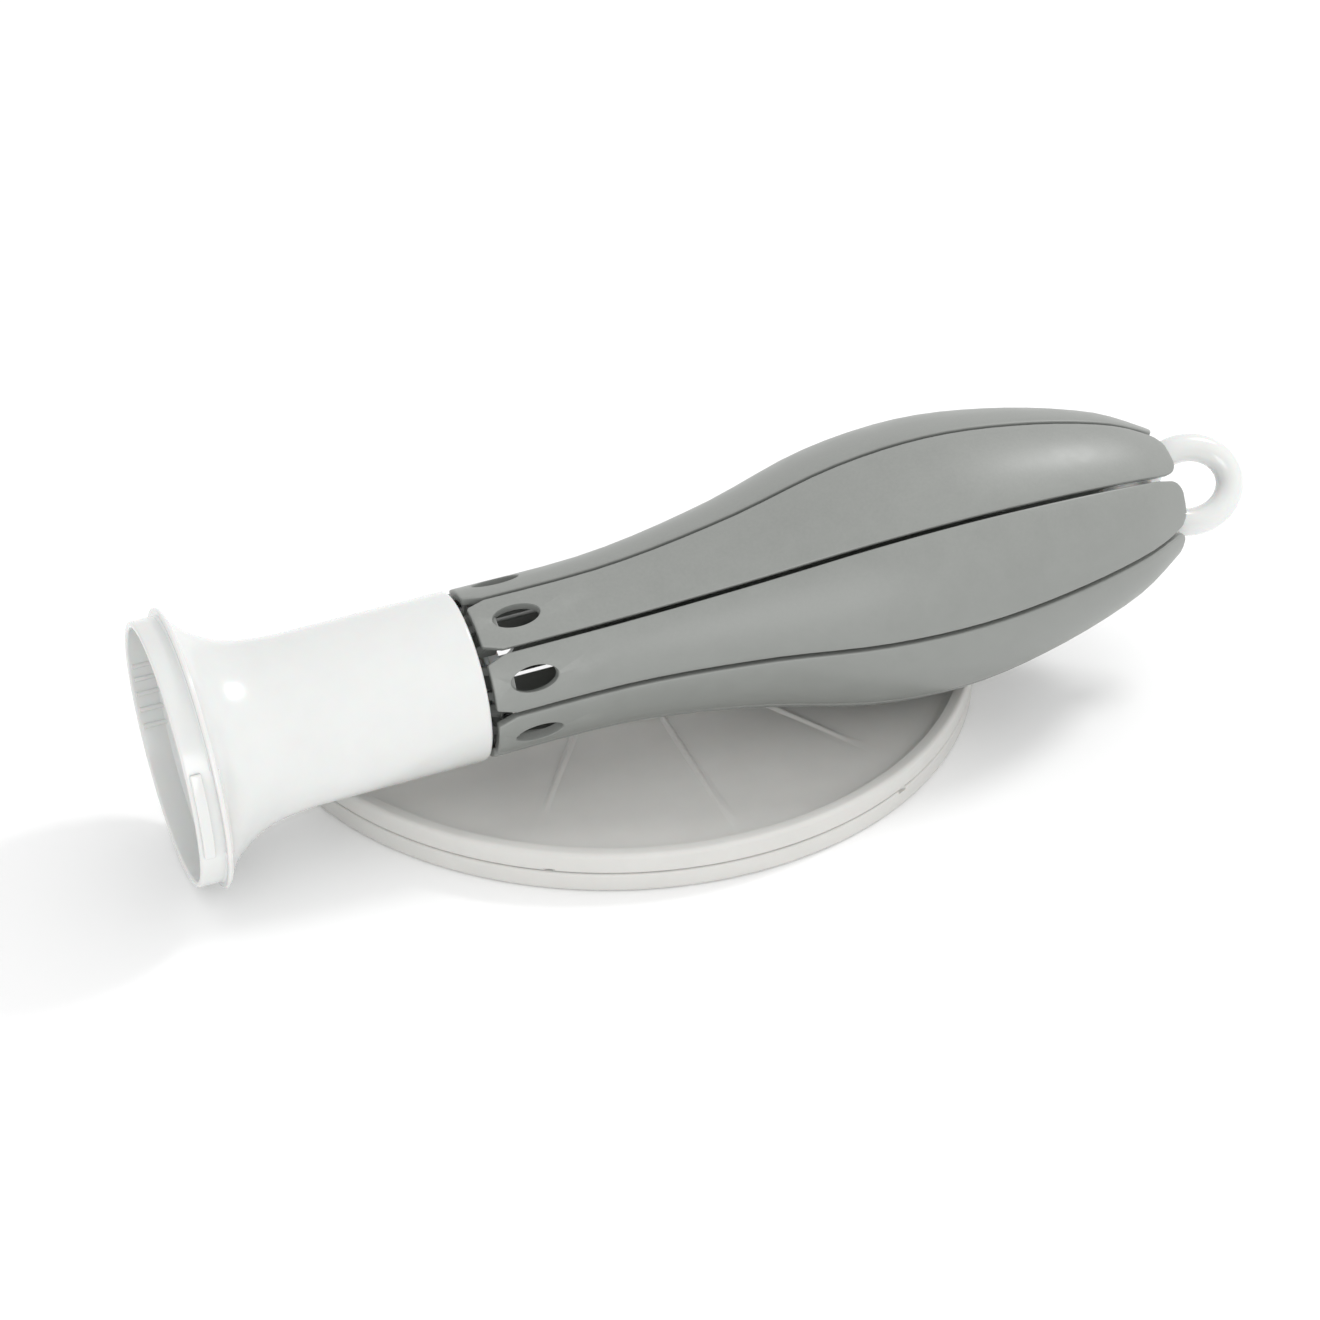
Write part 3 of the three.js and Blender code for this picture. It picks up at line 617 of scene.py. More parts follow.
def plastic(name, base, roughness, mottling, grain_scale, grain_height, waviness, dust=0.05, **shader):
    """A moulded plastic. Further numbers go on the shader's own sockets."""
    looks = bpy.context.scene.rack_finishes
    finish, tree, skin = new_finish(name, base)
    moulded = group_node(
        tree,
        "moulded surface",
        Color=opaque(base),
        Mottling=mottling,
        Roughness=roughness,
        Grain_Scale=grain_scale,
        Grain_Height=grain_height,
        Waviness=waviness,
    )
    # The lighter edge tone is partly wear and partly a painted highlight along the edges.
    lighter = [min(1.0, 1.25 * value + 0.08) for value in base]
    worn_and_highlit = group_node(
        tree, "edge wear and painted highlight", Color=moulded.outputs["Color"], Worn_Color=opaque(lighter), Amount=looks.wear_and_highlight
    )
    dusty = group_node(
        tree, "settled dust", Color=worn_and_highlit.outputs["Color"], Dust_Color=opaque(looks.dust), Amount=dust
    )
    rough = math_node(tree, "ADD", moulded.outputs["Roughness"], dusty.outputs["Mask"], clamp=True)
    feed(tree, skin.inputs["Base Color"], dusty.outputs["Color"])
    feed(tree, skin.inputs["Roughness"], rough)
    feed(tree, skin.inputs["Normal"], moulded.outputs["Normal"])
    for socket, value in shader.items():
        skin.inputs[socket.replace("_", " ")].default_value = value
    return finish


def white_plastic():
    """Glossy white, with light passing a little way into it."""
    base = bpy.context.scene.rack_finishes.white
    return plastic(
        "glossy white plastic", base, roughness=0.2, mottling=0.012, grain_scale=2600.0,
        grain_height=0.02, waviness=0.05, dust=0.02,
        Subsurface_Weight=0.25, Subsurface_Scale=1.5 * MM, Coat_Weight=0.25, Coat_Roughness=0.08, IOR=1.49,
    )


def petal_plastic():
    """Satin grey with a fine spark-eroded grain."""
    base = bpy.context.scene.rack_finishes.petal
    return plastic(
        "satin grey plastic", base, roughness=0.40, mottling=0.03, grain_scale=2200.0,
        grain_height=0.22, waviness=0.06,
        Specular_IOR_Level=0.5, Coat_Weight=0.06, Coat_Roughness=0.3, IOR=1.48,
    )


def tray_plastic():
    """Satin warm light grey with a slightly coarser grain."""
    base = bpy.context.scene.rack_finishes.tray
    return plastic(
        "satin tray plastic", base, roughness=0.47, mottling=0.02, grain_scale=1700.0,
        grain_height=0.25, waviness=0.07,
        Subsurface_Weight=0.06, Subsurface_Scale=1.0 * MM, IOR=1.48,
    )


def inner_plastic():
    """Darker satin grey of the hub inside the neck."""
    base = bpy.context.scene.rack_finishes.inner
    return plastic(
        "hub plastic", base, roughness=0.5, mottling=0.03, grain_scale=2000.0,
        grain_height=0.2, waviness=0.05, IOR=1.48,
    )


def brushed_steel():
    """Drawn steel wire and turned heads, with fine lines along and round them."""
    # The base colour is darkened below bright steel: painted shade that keeps glints out of the neck holes.
    base = bpy.context.scene.rack_finishes.steel
    finish, tree, skin = new_finish("drawn steel", base)
    coordinates = tree.nodes.new("ShaderNodeTexCoord")
    mapping = tree.nodes.new("ShaderNodeMapping")
    mapping.inputs["Scale"].default_value = (180.0, 4200.0, 4200.0)
    feed(tree, mapping.inputs["Vector"], coordinates.outputs["Object"])
    lines = tree.nodes.new("ShaderNodeTexNoise")
    lines.inputs["Scale"].default_value = 1.0
    lines.inputs["Detail"].default_value = 3.0
    feed(tree, lines.inputs["Vector"], mapping.outputs["Vector"])
    tone = spread(tree, lines.outputs["Fac"], 0.88, 1.06)
    feed(tree, skin.inputs["Base Color"], colour_mix(tree, 1.0, opaque(base), tone, "MULTIPLY"))
    feed(tree, skin.inputs["Roughness"], spread(tree, lines.outputs["Fac"], 0.22, 0.36))
    bump = tree.nodes.new("ShaderNodeBump")
    bump.inputs["Distance"].default_value = 0.02 * MM
    bump.inputs["Strength"].default_value = 0.3
    feed(tree, bump.inputs["Height"], lines.outputs["Fac"])
    feed(tree, skin.inputs["Normal"], bump.outputs["Normal"])
    skin.inputs["Metallic"].default_value = 1.0
    return finish


FINISH_MAKERS = {
    "white_plastic": white_plastic,
    "petal_plastic": petal_plastic,
    "tray_plastic": tray_plastic,
    "inner_plastic": inner_plastic,
    "steel": brushed_steel,
}
FINISHES = {}

# ---------------------------------------------------------------- operators


class RACK_OT_finishes(bpy.types.Operator):
    """Builds the shared effects and every finish"""

    bl_idname = "rack.finishes"
    bl_label = "Finishes"

    def execute(self, context):
        moulded_surface_group()
        edge_wear_and_highlight_group()
        dust_group()
        for slot, maker in FINISH_MAKERS.items():
            FINISHES[slot] = maker()
        return {"FINISHED"}


class RACK_OT_cad_finishes(bpy.types.Operator):
    """Gives the CAD nodes that stay in sight their finishes"""

    bl_idname = "rack.cad_finishes"
    bl_label = "CAD finishes"

    def execute(self, context):
        slots = {row["node"]: row["material_slot"] for row in frame["record"]["subparts"]}
        for name, node in frame["nodes"].items():
            node.data.materials.clear()
            node.data.materials.append(FINISHES[slots[name]])
        return {"FINISHED"}


def stem_profile(sizes):
    """Closed (height, radius) profile of the stem: collar, lip, flare, neck and the deck inside it."""
    lip = sizes.lip / 2
    rise = sizes.lip_radius - sizes.neck_radius
    # shares of the flare's length, and of how far it still stands out there
    bell = ((0, 1), (0.07, 0.735), (0.2, 0.47), (0.38, 0.25), (0.63, 0.08), (1, 0))
    flare_steps = 30
    flare = curve_through(
        [(lip + part * sizes.flare, sizes.neck_radius + out * rise) for part, out in bell], flare_steps
    )
    inner = sizes.neck_radius - sizes.wall
    collar_inner = sizes.collar_radius - sizes.collar_wall
    collar_edge = sizes.collar_wall / 2 - 0.05 * MM
    fillet = 0.5 * MM
    deck_depth, deck_thickness, deck_bore = 5.3 * MM, 2.5 * MM, 14 * MM
    deck_top = sizes.length - deck_depth
    deck_bottom = deck_top - deck_thickness
    clear_of_collar = 0.5 * MM
    widest = collar_inner - clear_of_collar
    inner_flare = [point for point in inwards(flare, sizes.wall) if point.y < widest]
    return [
        *arc((-sizes.collar_depth + collar_edge, sizes.collar_radius - collar_edge), collar_edge, 180, 90),
        (-lip - fillet, sizes.collar_radius),
        (-lip, sizes.collar_radius + fillet),
        *arc((0, sizes.lip_radius - lip), lip, 180, 30, 8),
        *[tuple(point) for point in flare[1:]],
        *arc((sizes.length - sizes.neck_edge, sizes.neck_radius - sizes.neck_edge), sizes.neck_edge, 90, 0),
        (sizes.length, inner + fillet),
        (sizes.length - fillet, inner),
        (deck_top, inner),
        (deck_top, deck_bore),
        (deck_bottom, deck_bore),
        (deck_bottom, inner - 0.2 * MM),
        *[tuple(point) for point in reversed(inner_flare)],
        (inner_flare[0].x - 0.6 * MM, collar_inner),
        *arc((-sizes.collar_depth + collar_edge, collar_inner + collar_edge), collar_edge, 270, 190),
    ]


class RACK_OT_stem(bpy.types.Operator):
    """Models the stem with its flared foot, collar, bayonet lugs and grip ribs"""

    bl_idname = "rack.stem"
    bl_label = "Stem"

    def execute(self, context):
        sizes = context.scene.rack_stem
        stem = turn("stem_shell", stem_profile(sizes))
        collar_inner = sizes.collar_radius - sizes.collar_wall
        lug_low = -sizes.collar_depth + 1.2 * MM
        rooted = 0.5 * MM  # how deep a lug stands in the collar's wall
        slot_reach = 3 * sizes.lip
        ribs, rib_radius = 5, 0.85 * MM
        rib_ends = (-sizes.collar_depth + 1.4 * MM, 0.4 * MM)
        for side in (0, math.pi):
            middle = sizes.lug_angle + side
            lug = arc_block(
                "lug",
                (sizes.collar_radius - rooted, sizes.collar_radius + sizes.lug_height),
                (lug_low, lug_low + sizes.lug_width),
                middle, sizes.lug_span, 0.45 * MM,
            )
            join(stem, lug)
            window = arc_block(
                "window",
                (sizes.collar_radius, sizes.collar_radius + sizes.lug_height),
                (-slot_reach, slot_reach),
                middle, sizes.lug_span, 0.3 * MM,
            )
            cut(stem, window)
            for i in range(ribs):
                rib = rod("rib", rib_radius, rib_ends, facets=16)
                angle = middle + sizes.lug_span / ribs * (i - (ribs - 1) / 2)
                place(rib, Matrix.Rotation(angle, 4, "Z") @ Matrix.Translation((collar_inner, 0, 0)))
                join(stem, rib)
        screw_circle, screw_bore = 18.5 * MM, 1.6 * MM
        screw_ends = (sizes.length - 9 * MM, sizes.length - 4 * MM)
        for i in range(0, PETAL_COUNT, 2):
            angle = arm_angle(PETAL_PINS[0]) + PETAL_PITCH * (i + 0.5)
            hole = rod("hole", screw_bore, screw_ends, facets=20)
            across, back = screw_circle * math.cos(angle), screw_circle * math.sin(angle)
            place(hole, Matrix.Translation((across, back, 0)))
            cut(stem, hole)
        place(stem, TREE)
        hand_over(stem, "tree", "white_plastic", "stem")
        return {"FINISHED"}


def petal_profile(sizes, steps=60):
    """Outer (height, radius) curve of a petal: narrow neck, round belly, drawn-in tip."""
    neck, belly, tip = sizes.neck_radius, sizes.belly_radius, sizes.tip_radius
    low = [
        (0, neck),
        (0.29, neck + 0.5 * MM),
        (0.55, neck + 0.36 * (belly - neck)),
        (0.79, neck + 0.87 * (belly - neck)),
    ]
    high = [(0, belly), (0.4, tip + 0.81 * (belly - tip)), (0.77, tip + 0.44 * (belly - tip)), (1, tip)]
    rest = sizes.length - sizes.belly_at
    points = [(sizes.start + part * sizes.belly_at, radius) for part, radius in low]
    points += [(sizes.start + sizes.belly_at + part * rest, radius) for part, radius in high]
    return curve_through(points, steps)


def petal_blade(sizes):
    """One petal, pointing straight down: a turned sheet trimmed to its outline and given a wall."""
    half = PETAL_PITCH / 2
    spare = math.radians(3)
    columns, rows = 6, 30  # wide columns leave room for the rounded edge beside the cut
    profile = petal_profile(sizes, rows)
    points = [
        Vector((p.y * math.cos(half + spare), p.y * math.sin(half + spare), p.x)) for p in profile
    ]
    blade = draw("petal_blade", points)
    edit(blade)
    bpy.ops.mesh.spin(steps=columns, angle=2 * (half + spare), center=(0, 0, 0), axis=(0, 0, 1))
    bpy.ops.mesh.select_all(action="SELECT")
    bpy.ops.mesh.remove_doubles(threshold=MERGE)
    neck_taper, neck_narrow, tip_wider = 6 * MM, 2.1 * MM, 0.9 * MM
    neck_half = sizes.neck_radius * math.sin(half) - sizes.gap / 2
    tip_half = sizes.tip_radius * math.sin(half) - sizes.gap / 2 + tip_wider
    end = sizes.start + sizes.length
    for side in (1, -1):
        across = Vector((-math.sin(half), side * math.cos(half), 0))
        cut_plane(-across * sizes.gap / 2, across)
        slant = Vector((0, side * neck_taper, -neck_narrow)).normalized()
        cut_plane(Vector((0, side * neck_half, sizes.start + neck_taper)), slant)
        corner = Vector((0, side * (tip_half - sizes.tip_corner), end - sizes.tip_corner))
        for degrees in range(16, 90, 12):
            round_to = math.radians(degrees)
            outward = Vector((0, side * math.cos(round_to), math.sin(round_to)))
            cut_plane(corner + sizes.tip_corner * outward, outward)
    bpy.ops.mesh.select_all(action="SELECT")
    bpy.ops.mesh.remove_doubles(threshold=SLIVER)
    done()
    if sum(face.normal.x for face in blade.data.polygons) < 0:
        edit(blade)
        bpy.ops.mesh.flip_normals()
        done()
    apply_modifier(blade, "SOLIDIFY", thickness=sizes.wall, offset=-1.0, use_even_offset=True)
    soften(blade, sizes.edge, limit=50, segments=4)
    return blade


def hole_cutter(sizes):
    """The oval hole's cutter, which opens out like a trumpet to leave a rounded rim."""
    rim = 0.8 * MM
    surface = sizes.neck_radius
    bpy.ops.object.select_all(action="DESELECT")
    bpy.ops.mesh.primitive_circle_add(vertices=48, radius=sizes.hole_width / 2, fill_type="NGON")
    cutter = bpy.context.object
    edit(cutter)
    bpy.ops.transform.resize(value=(1, sizes.hole_length / sizes.hole_width, 1), center_override=(0, 0, 0))
    start = surface - sizes.wall - 3 * MM
    bpy.ops.transform.translate(value=(0, 0, start))
    heights = [surface - rim - start]
    widths = [0.0]
    bends = 6
    for i in range(1, bends + 1):
        angle = math.radians(90 * i / bends)
        heights.append(rim * (math.sin(angle) - math.sin(angle - math.radians(90 / bends))))
        widths.append(rim * (1 - math.cos(angle)))
    heights.append(2 * MM)
    widths.append(rim)
    half_width, half_length = sizes.hole_width / 2, sizes.hole_length / 2
    before = 0.0
    for height, wider in zip(heights, widths):
        bpy.ops.mesh.extrude_region_move(TRANSFORM_OT_translate={"value": (0, 0, height)})
        factors = [(half + wider) / (half + before) for half in (half_width, half_length)]
        bpy.ops.transform.resize(value=(*factors, 1), center_override=(0, 0, 0))
        before = wider
    done()
    tidy_mesh(cutter)
    up_is_down = Matrix(((0, 0, 1, 0), (1, 0, 0, 0), (0, 1, 0, 0), (0, 0, 0, 1)))
    return place(cutter, Matrix.Translation((0, 0, sizes.start + sizes.hole_at)) @ up_is_down)


def petal_root(sizes):
    """The tongue round the pin and the crank that reaches into the spool's groove."""
    eye, thin, tip_radius = 2.1 * MM, 0.75 * MM, 1.5 * MM
    wall_inside = sizes.neck_radius - sizes.wall

    def along_crank(along, side):
        return (
            sizes.pivot_radius - along * math.cos(CRANK_LEAN) + side * math.sin(CRANK_LEAN),
            PIVOT_AT - along * math.sin(CRANK_LEAN) - side * math.cos(CRANK_LEAN),
        )

    tip = []
    for i in range(11):
        angle = math.radians(125 - i * 25)
        tip.append(along_crank(sizes.crank + tip_radius * math.cos(angle), tip_radius * math.sin(angle)))
    outline = [
        (wall_inside + 1 * MM, sizes.start + 1.2 * MM),
        (sizes.pivot_radius + 0.6 * MM, PIVOT_AT - eye),
        along_crank(1.6 * MM, eye - 0.5 * MM),
        along_crank(sizes.crank - tip_radius, thin),
        *tip,
        along_crank(sizes.crank - tip_radius, -thin),
        along_crank(1.6 * MM, -eye + 0.3 * MM),
        (sizes.pivot_radius - 0.6 * MM, PIVOT_AT + eye),
        (wall_inside + 1 * MM, PIVOT_AT + 3.2 * MM),
    ]
    root = slab("petal_root", outline, sizes.tongue)
    soften(root, 0.25 * MM, segments=2)
    return root


def petal_rib(sizes):
    """The stiffening rib inside a petal, rounded along its free edge."""
    width, depth = 2 * MM, 4 * MM
    low, high = sizes.start + 34 * MM, sizes.start + 205 * MM
    inner = [p for p in inwards(petal_profile(sizes), sizes.wall) if low < p.x < high]
    outline = [(p.y + 1 * MM, p.x) for p in inner]
    outline += [(p.y - depth, p.x) for p in reversed(inner[2:-2])]
    rib = slab("petal_rib", outline, width)
    soften(rib, 0.45 * MM, segments=2)
    return rib


class RACK_OT_petals(bpy.types.Operator):
    """Models one petal and copies it round the tree"""

    bl_idname = "rack.petals"
    bl_label = "Petals"

    def execute(self, context):
        sizes = context.scene.rack_petals
        blade = petal_blade(sizes)
        cut(blade, hole_cutter(sizes))
        join(blade, petal_root(sizes), petal_rib(sizes))
        bore = rod("bore", 1.5 * MM, (-sizes.tongue, sizes.tongue), "Y", facets=24)
        cut(blade, place(bore, Matrix.Translation((sizes.pivot_radius, 0, PIVOT_AT))))
        for i, pin in enumerate(PETAL_PINS):
            turned = TREE @ Matrix.Rotation(arm_angle(pin), 4, "Z")
            petal = copied(blade, f"petal_blade_{i + 1}", turned)
            hand_over(petal, f"petal_{i + 1}", "petal_plastic", f"petal_{i + 1}")
        bpy.data.objects.remove(blade)
        return {"FINISHED"}


def tray_profile(sizes):
    """Closed (height, radius) section of a tray half: wall, rolled rim, sunken floor and seat."""
    seam = PLAY / 2
    rim_top = sizes.radius - sizes.rim_inset
    rim_inner = rim_top - sizes.rim_width
    seat_outer = sizes.socket + sizes.seat_width
    seat_top = sizes.floor + sizes.seat_rise
    edge = sizes.edge
    roll = 0.6 * MM
    return [
        (seam, sizes.socket + roll),
        (seam, sizes.radius - edge),
        *arc((seam + edge, sizes.radius - edge), edge, 180, 90, 4)[1:],
        *arc((sizes.thickness - sizes.rim_inset, rim_top), sizes.rim_inset, 90, 0, 7),
        *arc((sizes.thickness - roll, rim_inner), roll, 0, -50, 4)[1:],
        (sizes.floor + 0.75 * MM, rim_inner - sizes.rim_slope + 0.9 * MM),
        (sizes.floor + 0.2 * MM, rim_inner - sizes.rim_slope),
        (sizes.floor, rim_inner - sizes.rim_slope - 1.0 * MM),
        (sizes.floor, seat_outer + sizes.seat_rise),
        (sizes.floor + 0.3 * MM, seat_outer + sizes.seat_rise * 0.6),
        *arc((seat_top - roll, seat_outer), roll, 60, 0, 3)[1:],
        *arc((seat_top - roll, sizes.socket + roll), roll, 0, -90, 4),
        (seam + roll, sizes.socket),
    ]


def tray_rib(sizes, angle):
    """A soft raised rib that fades out towards the rim."""
    start, reach = sizes.socket + sizes.seat_width / 2, sizes.rib_reach
    sunk = 0.4 * MM
    steps = 8
    bell = [(-sizes.rib_width / 2, -sunk)]
    for i in range(steps + 1):
        part = i / steps
        bell.append((sizes.rib_width * (part - 0.5), sizes.rib_height * math.sin(math.pi * part) ** 1.3))
    bell.append((sizes.rib_width / 2, -sunk))
    rib = slab("rib", bell, MM)
    edit(rib)
    mesh = bmesh.from_edit_mesh(rib.data)
    for vertex in mesh.verts:
        vertex.select = vertex.co.y > 0
    mesh.select_flush_mode()
    far = reach - start - MM
    bpy.ops.transform.translate(value=(0, far, 0))
    done()
    edit(rib)
    for cut_at in (0.5, 0.65, 0.8, 0.92):
        bpy.ops.mesh.select_all(action="SELECT")
        bpy.ops.mesh.bisect(plane_co=(0, far * cut_at, 0), plane_no=(0, 1, 0))
    mesh = bmesh.from_edit_mesh(rib.data)
    for vertex in mesh.verts:
        part = max(0.0, vertex.co.y / far - 0.45) / 0.55
        if vertex.co.z > 0:
            vertex.co.z *= 1 - part**1.4
    bmesh.update_edit_mesh(rib.data)
    done()
    tidy_mesh(rib)
    lift = Matrix.Translation((0, start + MM / 2, sizes.floor))
    return place(rib, Matrix.Rotation(angle - math.pi / 2, 4, "Z") @ lift)


def knuckle_spans(sizes, first):
    """Stretches of the fold line that every second knuckle takes up."""
    run = sizes.knuckle + PLAY
    knuckles = 3
    spans = []
    for middle in (-sizes.hinge_offset, sizes.hinge_offset):
        for k in range(first, knuckles, 2):
            low = middle - (knuckles * run - PLAY) / 2 + k * run
            spans.append((low, low + sizes.knuckle))
    return spans


def tray_half(name, sizes, first):
    """A tray half with its floor upwards, in front of the fold line."""
    half = turn(name, tray_profile(sizes), 180)
    edit(half)
    cut_plane((0, -PLAY / 2, 0), (0, 1, 0), fill=True)
    done()
    for i in range(sizes.ribs):
        join(half, tray_rib(sizes, math.radians(-90) + sizes.rib_pitch * (i - (sizes.ribs - 1) / 2)))
    stem = bpy.context.scene.rack_stem
    lug_play = math.radians(4)
    notch = arc_block(
        "notch",
        (sizes.socket - 2 * MM, sizes.socket + stem.lug_height),
        (-MM, sizes.thickness + MM),
        stem.lug_angle, stem.lug_span + lug_play,
    )
    thumb_radius, thumb_below, thumb_outside = 2.2 * MM, 2.4 * MM, 1.0 * MM
    thumb = rod("thumb", thumb_radius, (-thumb_below, sizes.notch), facets=32)
    thumb_at = Matrix.Rotation(math.radians(-90) + sizes.notch_angle, 4, "Z")
    place(thumb, thumb_at @ Matrix.Translation((sizes.radius + thumb_outside, 0, 0)))
    cut(half, notch, thumb)
    web = 6 * MM
    for low, high in knuckle_spans(sizes, first):
        barrel = rod("barrel", sizes.barrel, (low, high), "X")
        join(barrel, block("web", (low, -web, PLAY / 2), (high, 0, sizes.barrel)))
        join(half, barrel)
    for low, high in knuckle_spans(sizes, 1 - first):
        cut(half, rod("relief", sizes.barrel + PLAY, (low - PLAY, high + PLAY), "X"))
    reach = 1.5 * (sizes.knuckle + PLAY) + MM
    for middle in (-sizes.hinge_offset, sizes.hinge_offset):
        cut(half, rod("bore", sizes.hinge_pin + PLAY, (middle - reach, middle + reach), "X", facets=28))
    return half


class RACK_OT_tray(bpy.types.Operator):
    """Models both halves of the folded tray with their ribs, rims and hinge knuckles"""

    bl_idname = "rack.tray"
    bl_label = "Tray"

    def execute(self, context):
        sizes = context.scene.rack_tray
        upper = place(tray_half("tray_shell_upper", sizes, 0), TRAY)
        lower = place(tray_half("tray_shell_lower", sizes, 1), TRAY @ Matrix.Rotation(math.pi, 4, "Y"))
        hand_over(upper, "tray_upper", "tray_plastic", "tray_half_upper")
        hand_over(lower, "tray_lower", "tray_plastic", "tray_half_lower")
        return {"FINISHED"}


class RACK_OT_ring(bpy.types.Operator):
    """Models the pull ring: a loop drawn out along the axis, with a neck that slips over the rod"""

    bl_idname = "rack.ring"
    bl_label = "Pull ring"

    def execute(self, context):
        sizes = context.scene.rack_pull
        middle = sizes.end - sizes.along - sizes.tube
        rod_top = middle - sizes.along - 2 * MM
        bpy.ops.object.select_all(action="DESELECT")
        bpy.ops.mesh.primitive_torus_add(
            major_radius=sizes.across, minor_radius=sizes.tube, major_segments=96, minor_segments=36,
            rotation=(math.pi / 2, 0, 0),
        )
        bpy.ops.object.transform_apply(location=True, rotation=True, scale=True)
        loop = named("pull_ring_loop")
        edit(loop)
        mesh = bmesh.from_edit_mesh(loop.data)
        for vertex in mesh.verts:
            around = math.atan2(vertex.co.z, vertex.co.x)
            vertex.co.z += (sizes.along - sizes.across) * math.sin(around) + middle
        bmesh.update_edit_mesh(loop.data)
        done()
        neck_low, neck_high = rod_top - sizes.neck_length, middle - sizes.along
        radius = sizes.neck_radius
        neck = turn("neck", [
            (neck_low, 0),
            (neck_low, radius - 0.6 * MM),
            (neck_low + 0.6 * MM, radius),
            (neck_high - 6 * MM, radius),
            (neck_high - 4 * MM, radius + 0.25 * MM),
            (neck_high - 2.5 * MM, radius + 0.9 * MM),
            (neck_high - 1.2 * MM, radius + 2.0 * MM),
            (neck_high, radius + 2.2 * MM),
            (neck_high + sizes.tube / 4, 0),
        ], 48)
        join(loop, neck)
        cut(loop, rod("bore", sizes.rod_radius + PLAY, (neck_low - MM, rod_top + PLAY)))
        pin_at = rod_top - sizes.neck_length / 2
        hole = rod("pin_hole", CROSS_PIN_BORE, (-radius - 2 * MM, radius + 2 * MM), "Y", facets=24)
        cut(loop, place(hole, Matrix.Translation((0, 0, pin_at))))
        place(loop, TREE @ Matrix.Rotation(sizes.turn, 4, "Z"))
        hand_over(loop, "puller", "white_plastic", "pull_ring")
        return {"FINISHED"}


class RACK_OT_spool(bpy.types.Operator):
    """Models the spool that the petals' cranks run in"""

    bl_idname = "rack.spool"
    bl_label = "Spool"

    def execute(self, context):
        sizes = context.scene.rack_pull
        petals = context.scene.rack_petals
        groove_at = PIVOT_AT - petals.crank * math.sin(CRANK_LEAN)
        groove_half, flange, edge = 1.9 * MM, 1.6 * MM, 0.35 * MM
        low, high = groove_at - groove_half - flange, groove_at + groove_half + flange
        boss, boss_radius = 5 * MM, 7 * MM
        outer, floor, bore = sizes.spool_radius, sizes.spool_radius - 3.9 * MM, sizes.rod_radius + PLAY
        spool = turn("spool_body", [
            (low, bore),
            (low, outer - edge),
            (low + edge, outer),
            (low + flange - edge, outer),
            (low + flange, outer - edge),
            (low + flange, floor),
            (high - flange, floor),
            (high - flange, outer - edge),
            (high - flange + edge, outer),
            (high - edge, outer),
            (high, outer - edge),
            (high, boss_radius),
            (high + boss - edge, boss_radius),
            (high + boss, boss_radius - edge),
            (high + boss, bore),
        ], 64)
        hole = rod("pin_hole", CROSS_PIN_BORE, (-boss_radius - MM, boss_radius + MM), "Y", facets=24)
        cut(spool, place(hole, Matrix.Translation((0, 0, high + boss / 2))))
        place(spool, TREE)
        hand_over(spool, "puller", "white_plastic", "pull_spool")
        return {"FINISHED"}


def lamp(name, location, target, power, size):
    """A round soft light, aimed at a point."""
    data = bpy.data.lights.new(name, "AREA")
    data.energy = power
    data.shape = "DISK"
    data.size = size
    light = bpy.data.objects.new(name, data)
    bpy.context.scene.collection.objects.link(light)
    light.location = location
    light.rotation_euler = (Vector(target) - Vector(location)).to_track_quat("-Z", "Y").to_euler()


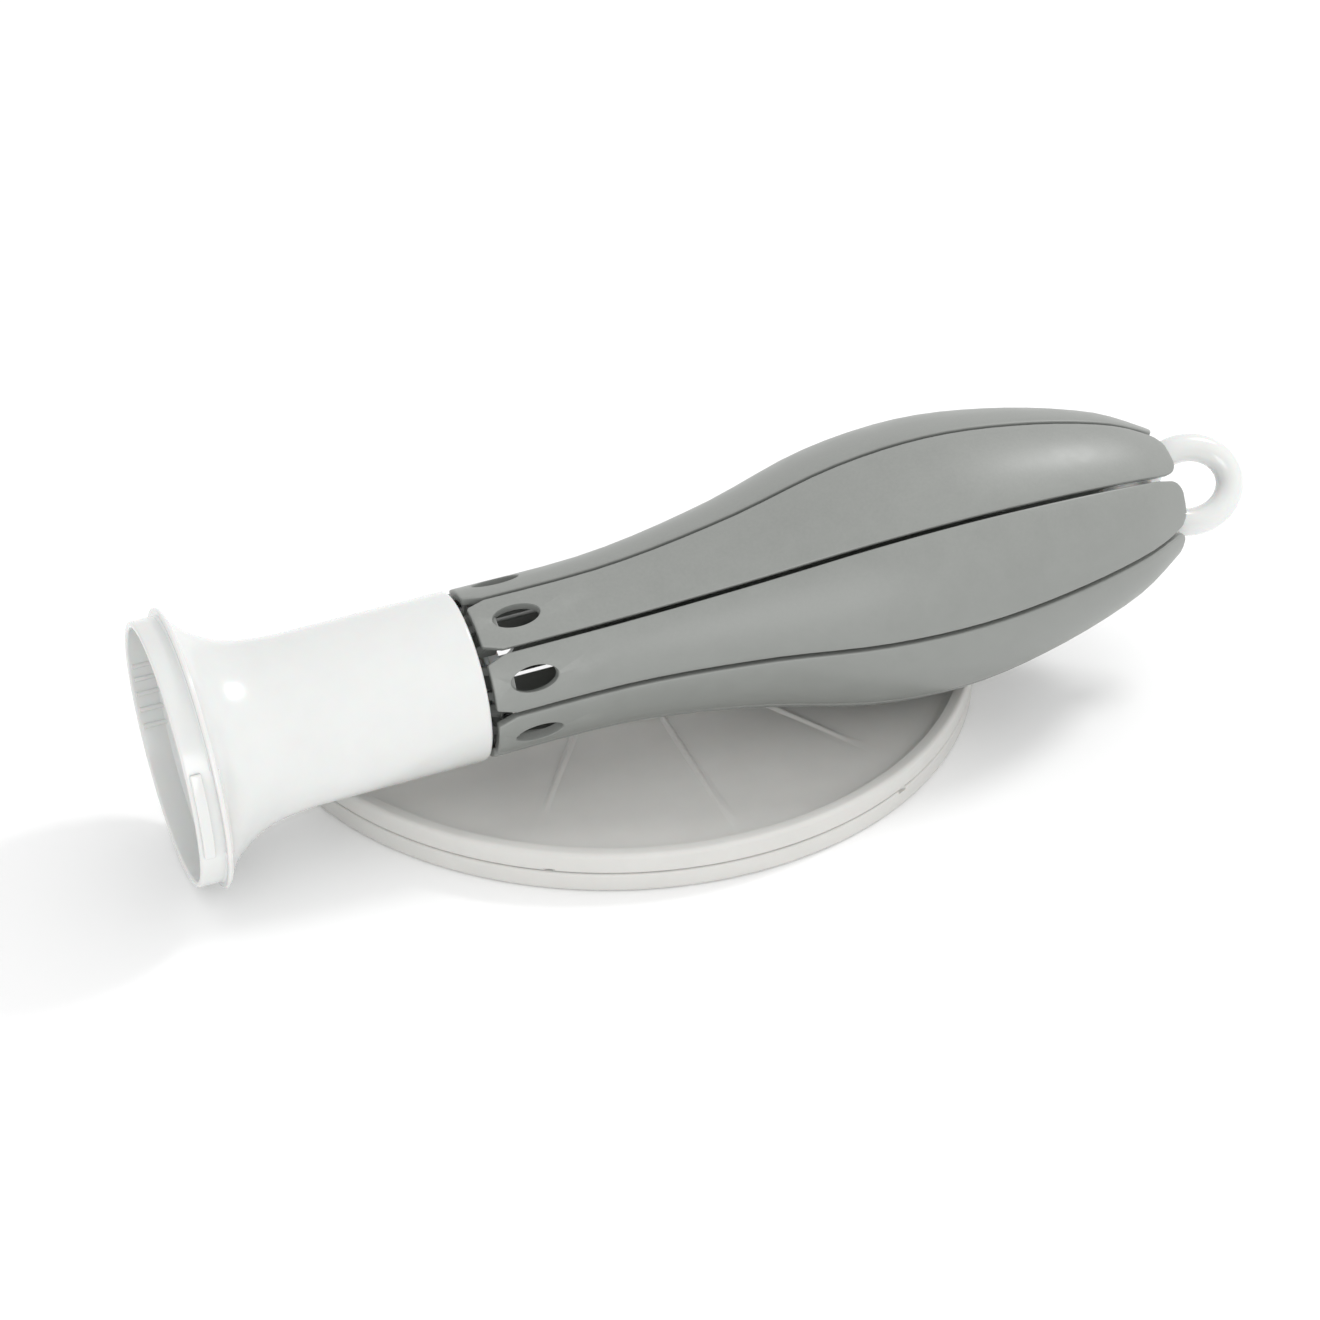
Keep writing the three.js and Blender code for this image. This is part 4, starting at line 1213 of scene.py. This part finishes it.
class RACK_OT_stage(bpy.types.Operator):
    """Sets the pale floor, the soft studio light and the camera"""

    bl_idname = "rack.stage"
    bl_label = "Stage"

    def execute(self, context):
        stage = context.scene.rack_stage
        bpy.ops.object.select_all(action="DESELECT")
        floor_radius = 6
        bpy.ops.mesh.primitive_circle_add(vertices=96, radius=floor_radius, fill_type="NGON")
        floor = named("studio_floor")
        finish, tree, skin = new_finish("pale floor", stage.floor)
        feed(tree, skin.inputs["Base Color"], colour_mix(
            tree, spread(tree, noise(tree, 3.0, 3.0), 0.0, 0.02), opaque(stage.floor), (0.8, 0.8, 0.8, 1.0)))
        skin.inputs["Roughness"].default_value = 0.9
        floor.data.materials.append(finish)
        world = bpy.data.worlds.new("soft white surroundings")
        world.use_nodes = True
        sky = world.node_tree.nodes["Background"]
        sky.inputs["Color"].default_value = (1, 1, 1, 1)
        sky.inputs["Strength"].default_value = stage.sky
        context.scene.world = world
        context.scene.view_settings.view_transform = "Standard"
        lamp("key", location=(1.15, 0.28, 1.22), target=(0.09, 0, 0.06), power=stage.key, size=0.36)
        lamp("fill", location=(-0.35, -1.5, 0.5), target=(0, 0, 0.03), power=stage.fill, size=0.9)
        camera_data = bpy.data.cameras.new("camera")
        camera_data.lens = stage.lens
        camera = bpy.data.objects.new("camera", camera_data)
        context.scene.collection.objects.link(camera)
        a, e = stage.azimuth, stage.elevation
        back = Vector((math.sin(a) * math.cos(e), -math.cos(a) * math.cos(e), math.sin(e)))
        camera.location = Vector(stage.target) + back * stage.distance
        camera.rotation_euler = (-back).to_track_quat("-Z", "Y").to_euler()
        camera_data.clip_start, camera_data.clip_end = 0.01, 50
        context.scene.camera = camera
        return {"FINISHED"}


class RACK_PT_panel(bpy.types.Panel):
    """Lists the pieces of the rack in the order in which they are made"""

    bl_idname = "RACK_PT_panel"
    bl_label = "Drying Rack"
    bl_space_type = "VIEW_3D"
    bl_region_type = "UI"
    bl_category = "Drying Rack"

    def draw(self, context):
        for operator in OPERATORS:
            self.layout.operator(operator.bl_idname)
        for settings in (context.scene.rack_finishes, context.scene.rack_stage):
            box = self.layout.box()
            for name in settings.__annotations__:
                box.prop(settings, name)


OPERATORS = (
    RACK_OT_finishes,
    RACK_OT_cad_finishes,
    RACK_OT_stem,
    RACK_OT_petals,
    RACK_OT_tray,
    RACK_OT_ring,
    RACK_OT_spool,
    RACK_OT_stage,
)
SETTINGS = {
    "rack_tray": RackTraySizes,
    "rack_stem": RackStemSizes,
    "rack_petals": RackPetalSizes,
    "rack_pull": RackPullSizes,
    "rack_finishes": RackFinishes,
    "rack_stage": RackStage,
}


def register():
    for group in (*SETTINGS.values(), *OPERATORS, RACK_PT_panel):
        bpy.utils.register_class(group)
    for name, group in SETTINGS.items():
        setattr(bpy.types.Scene, name, PointerProperty(type=group))


def unregister():
    for name in SETTINGS:
        delattr(bpy.types.Scene, name)
    for group in reversed((*SETTINGS.values(), *OPERATORS, RACK_PT_panel)):
        bpy.utils.unregister_class(group)


def main():
    register()
    bpy.ops.rack.finishes()
    bpy.ops.rack.cad_finishes()
    bpy.ops.rack.stem()
    bpy.ops.rack.petals()
    bpy.ops.rack.tray()
    bpy.ops.rack.ring()
    bpy.ops.rack.spool()
    bpy.ops.rack.stage()


if __name__ == "__main__":
    main()
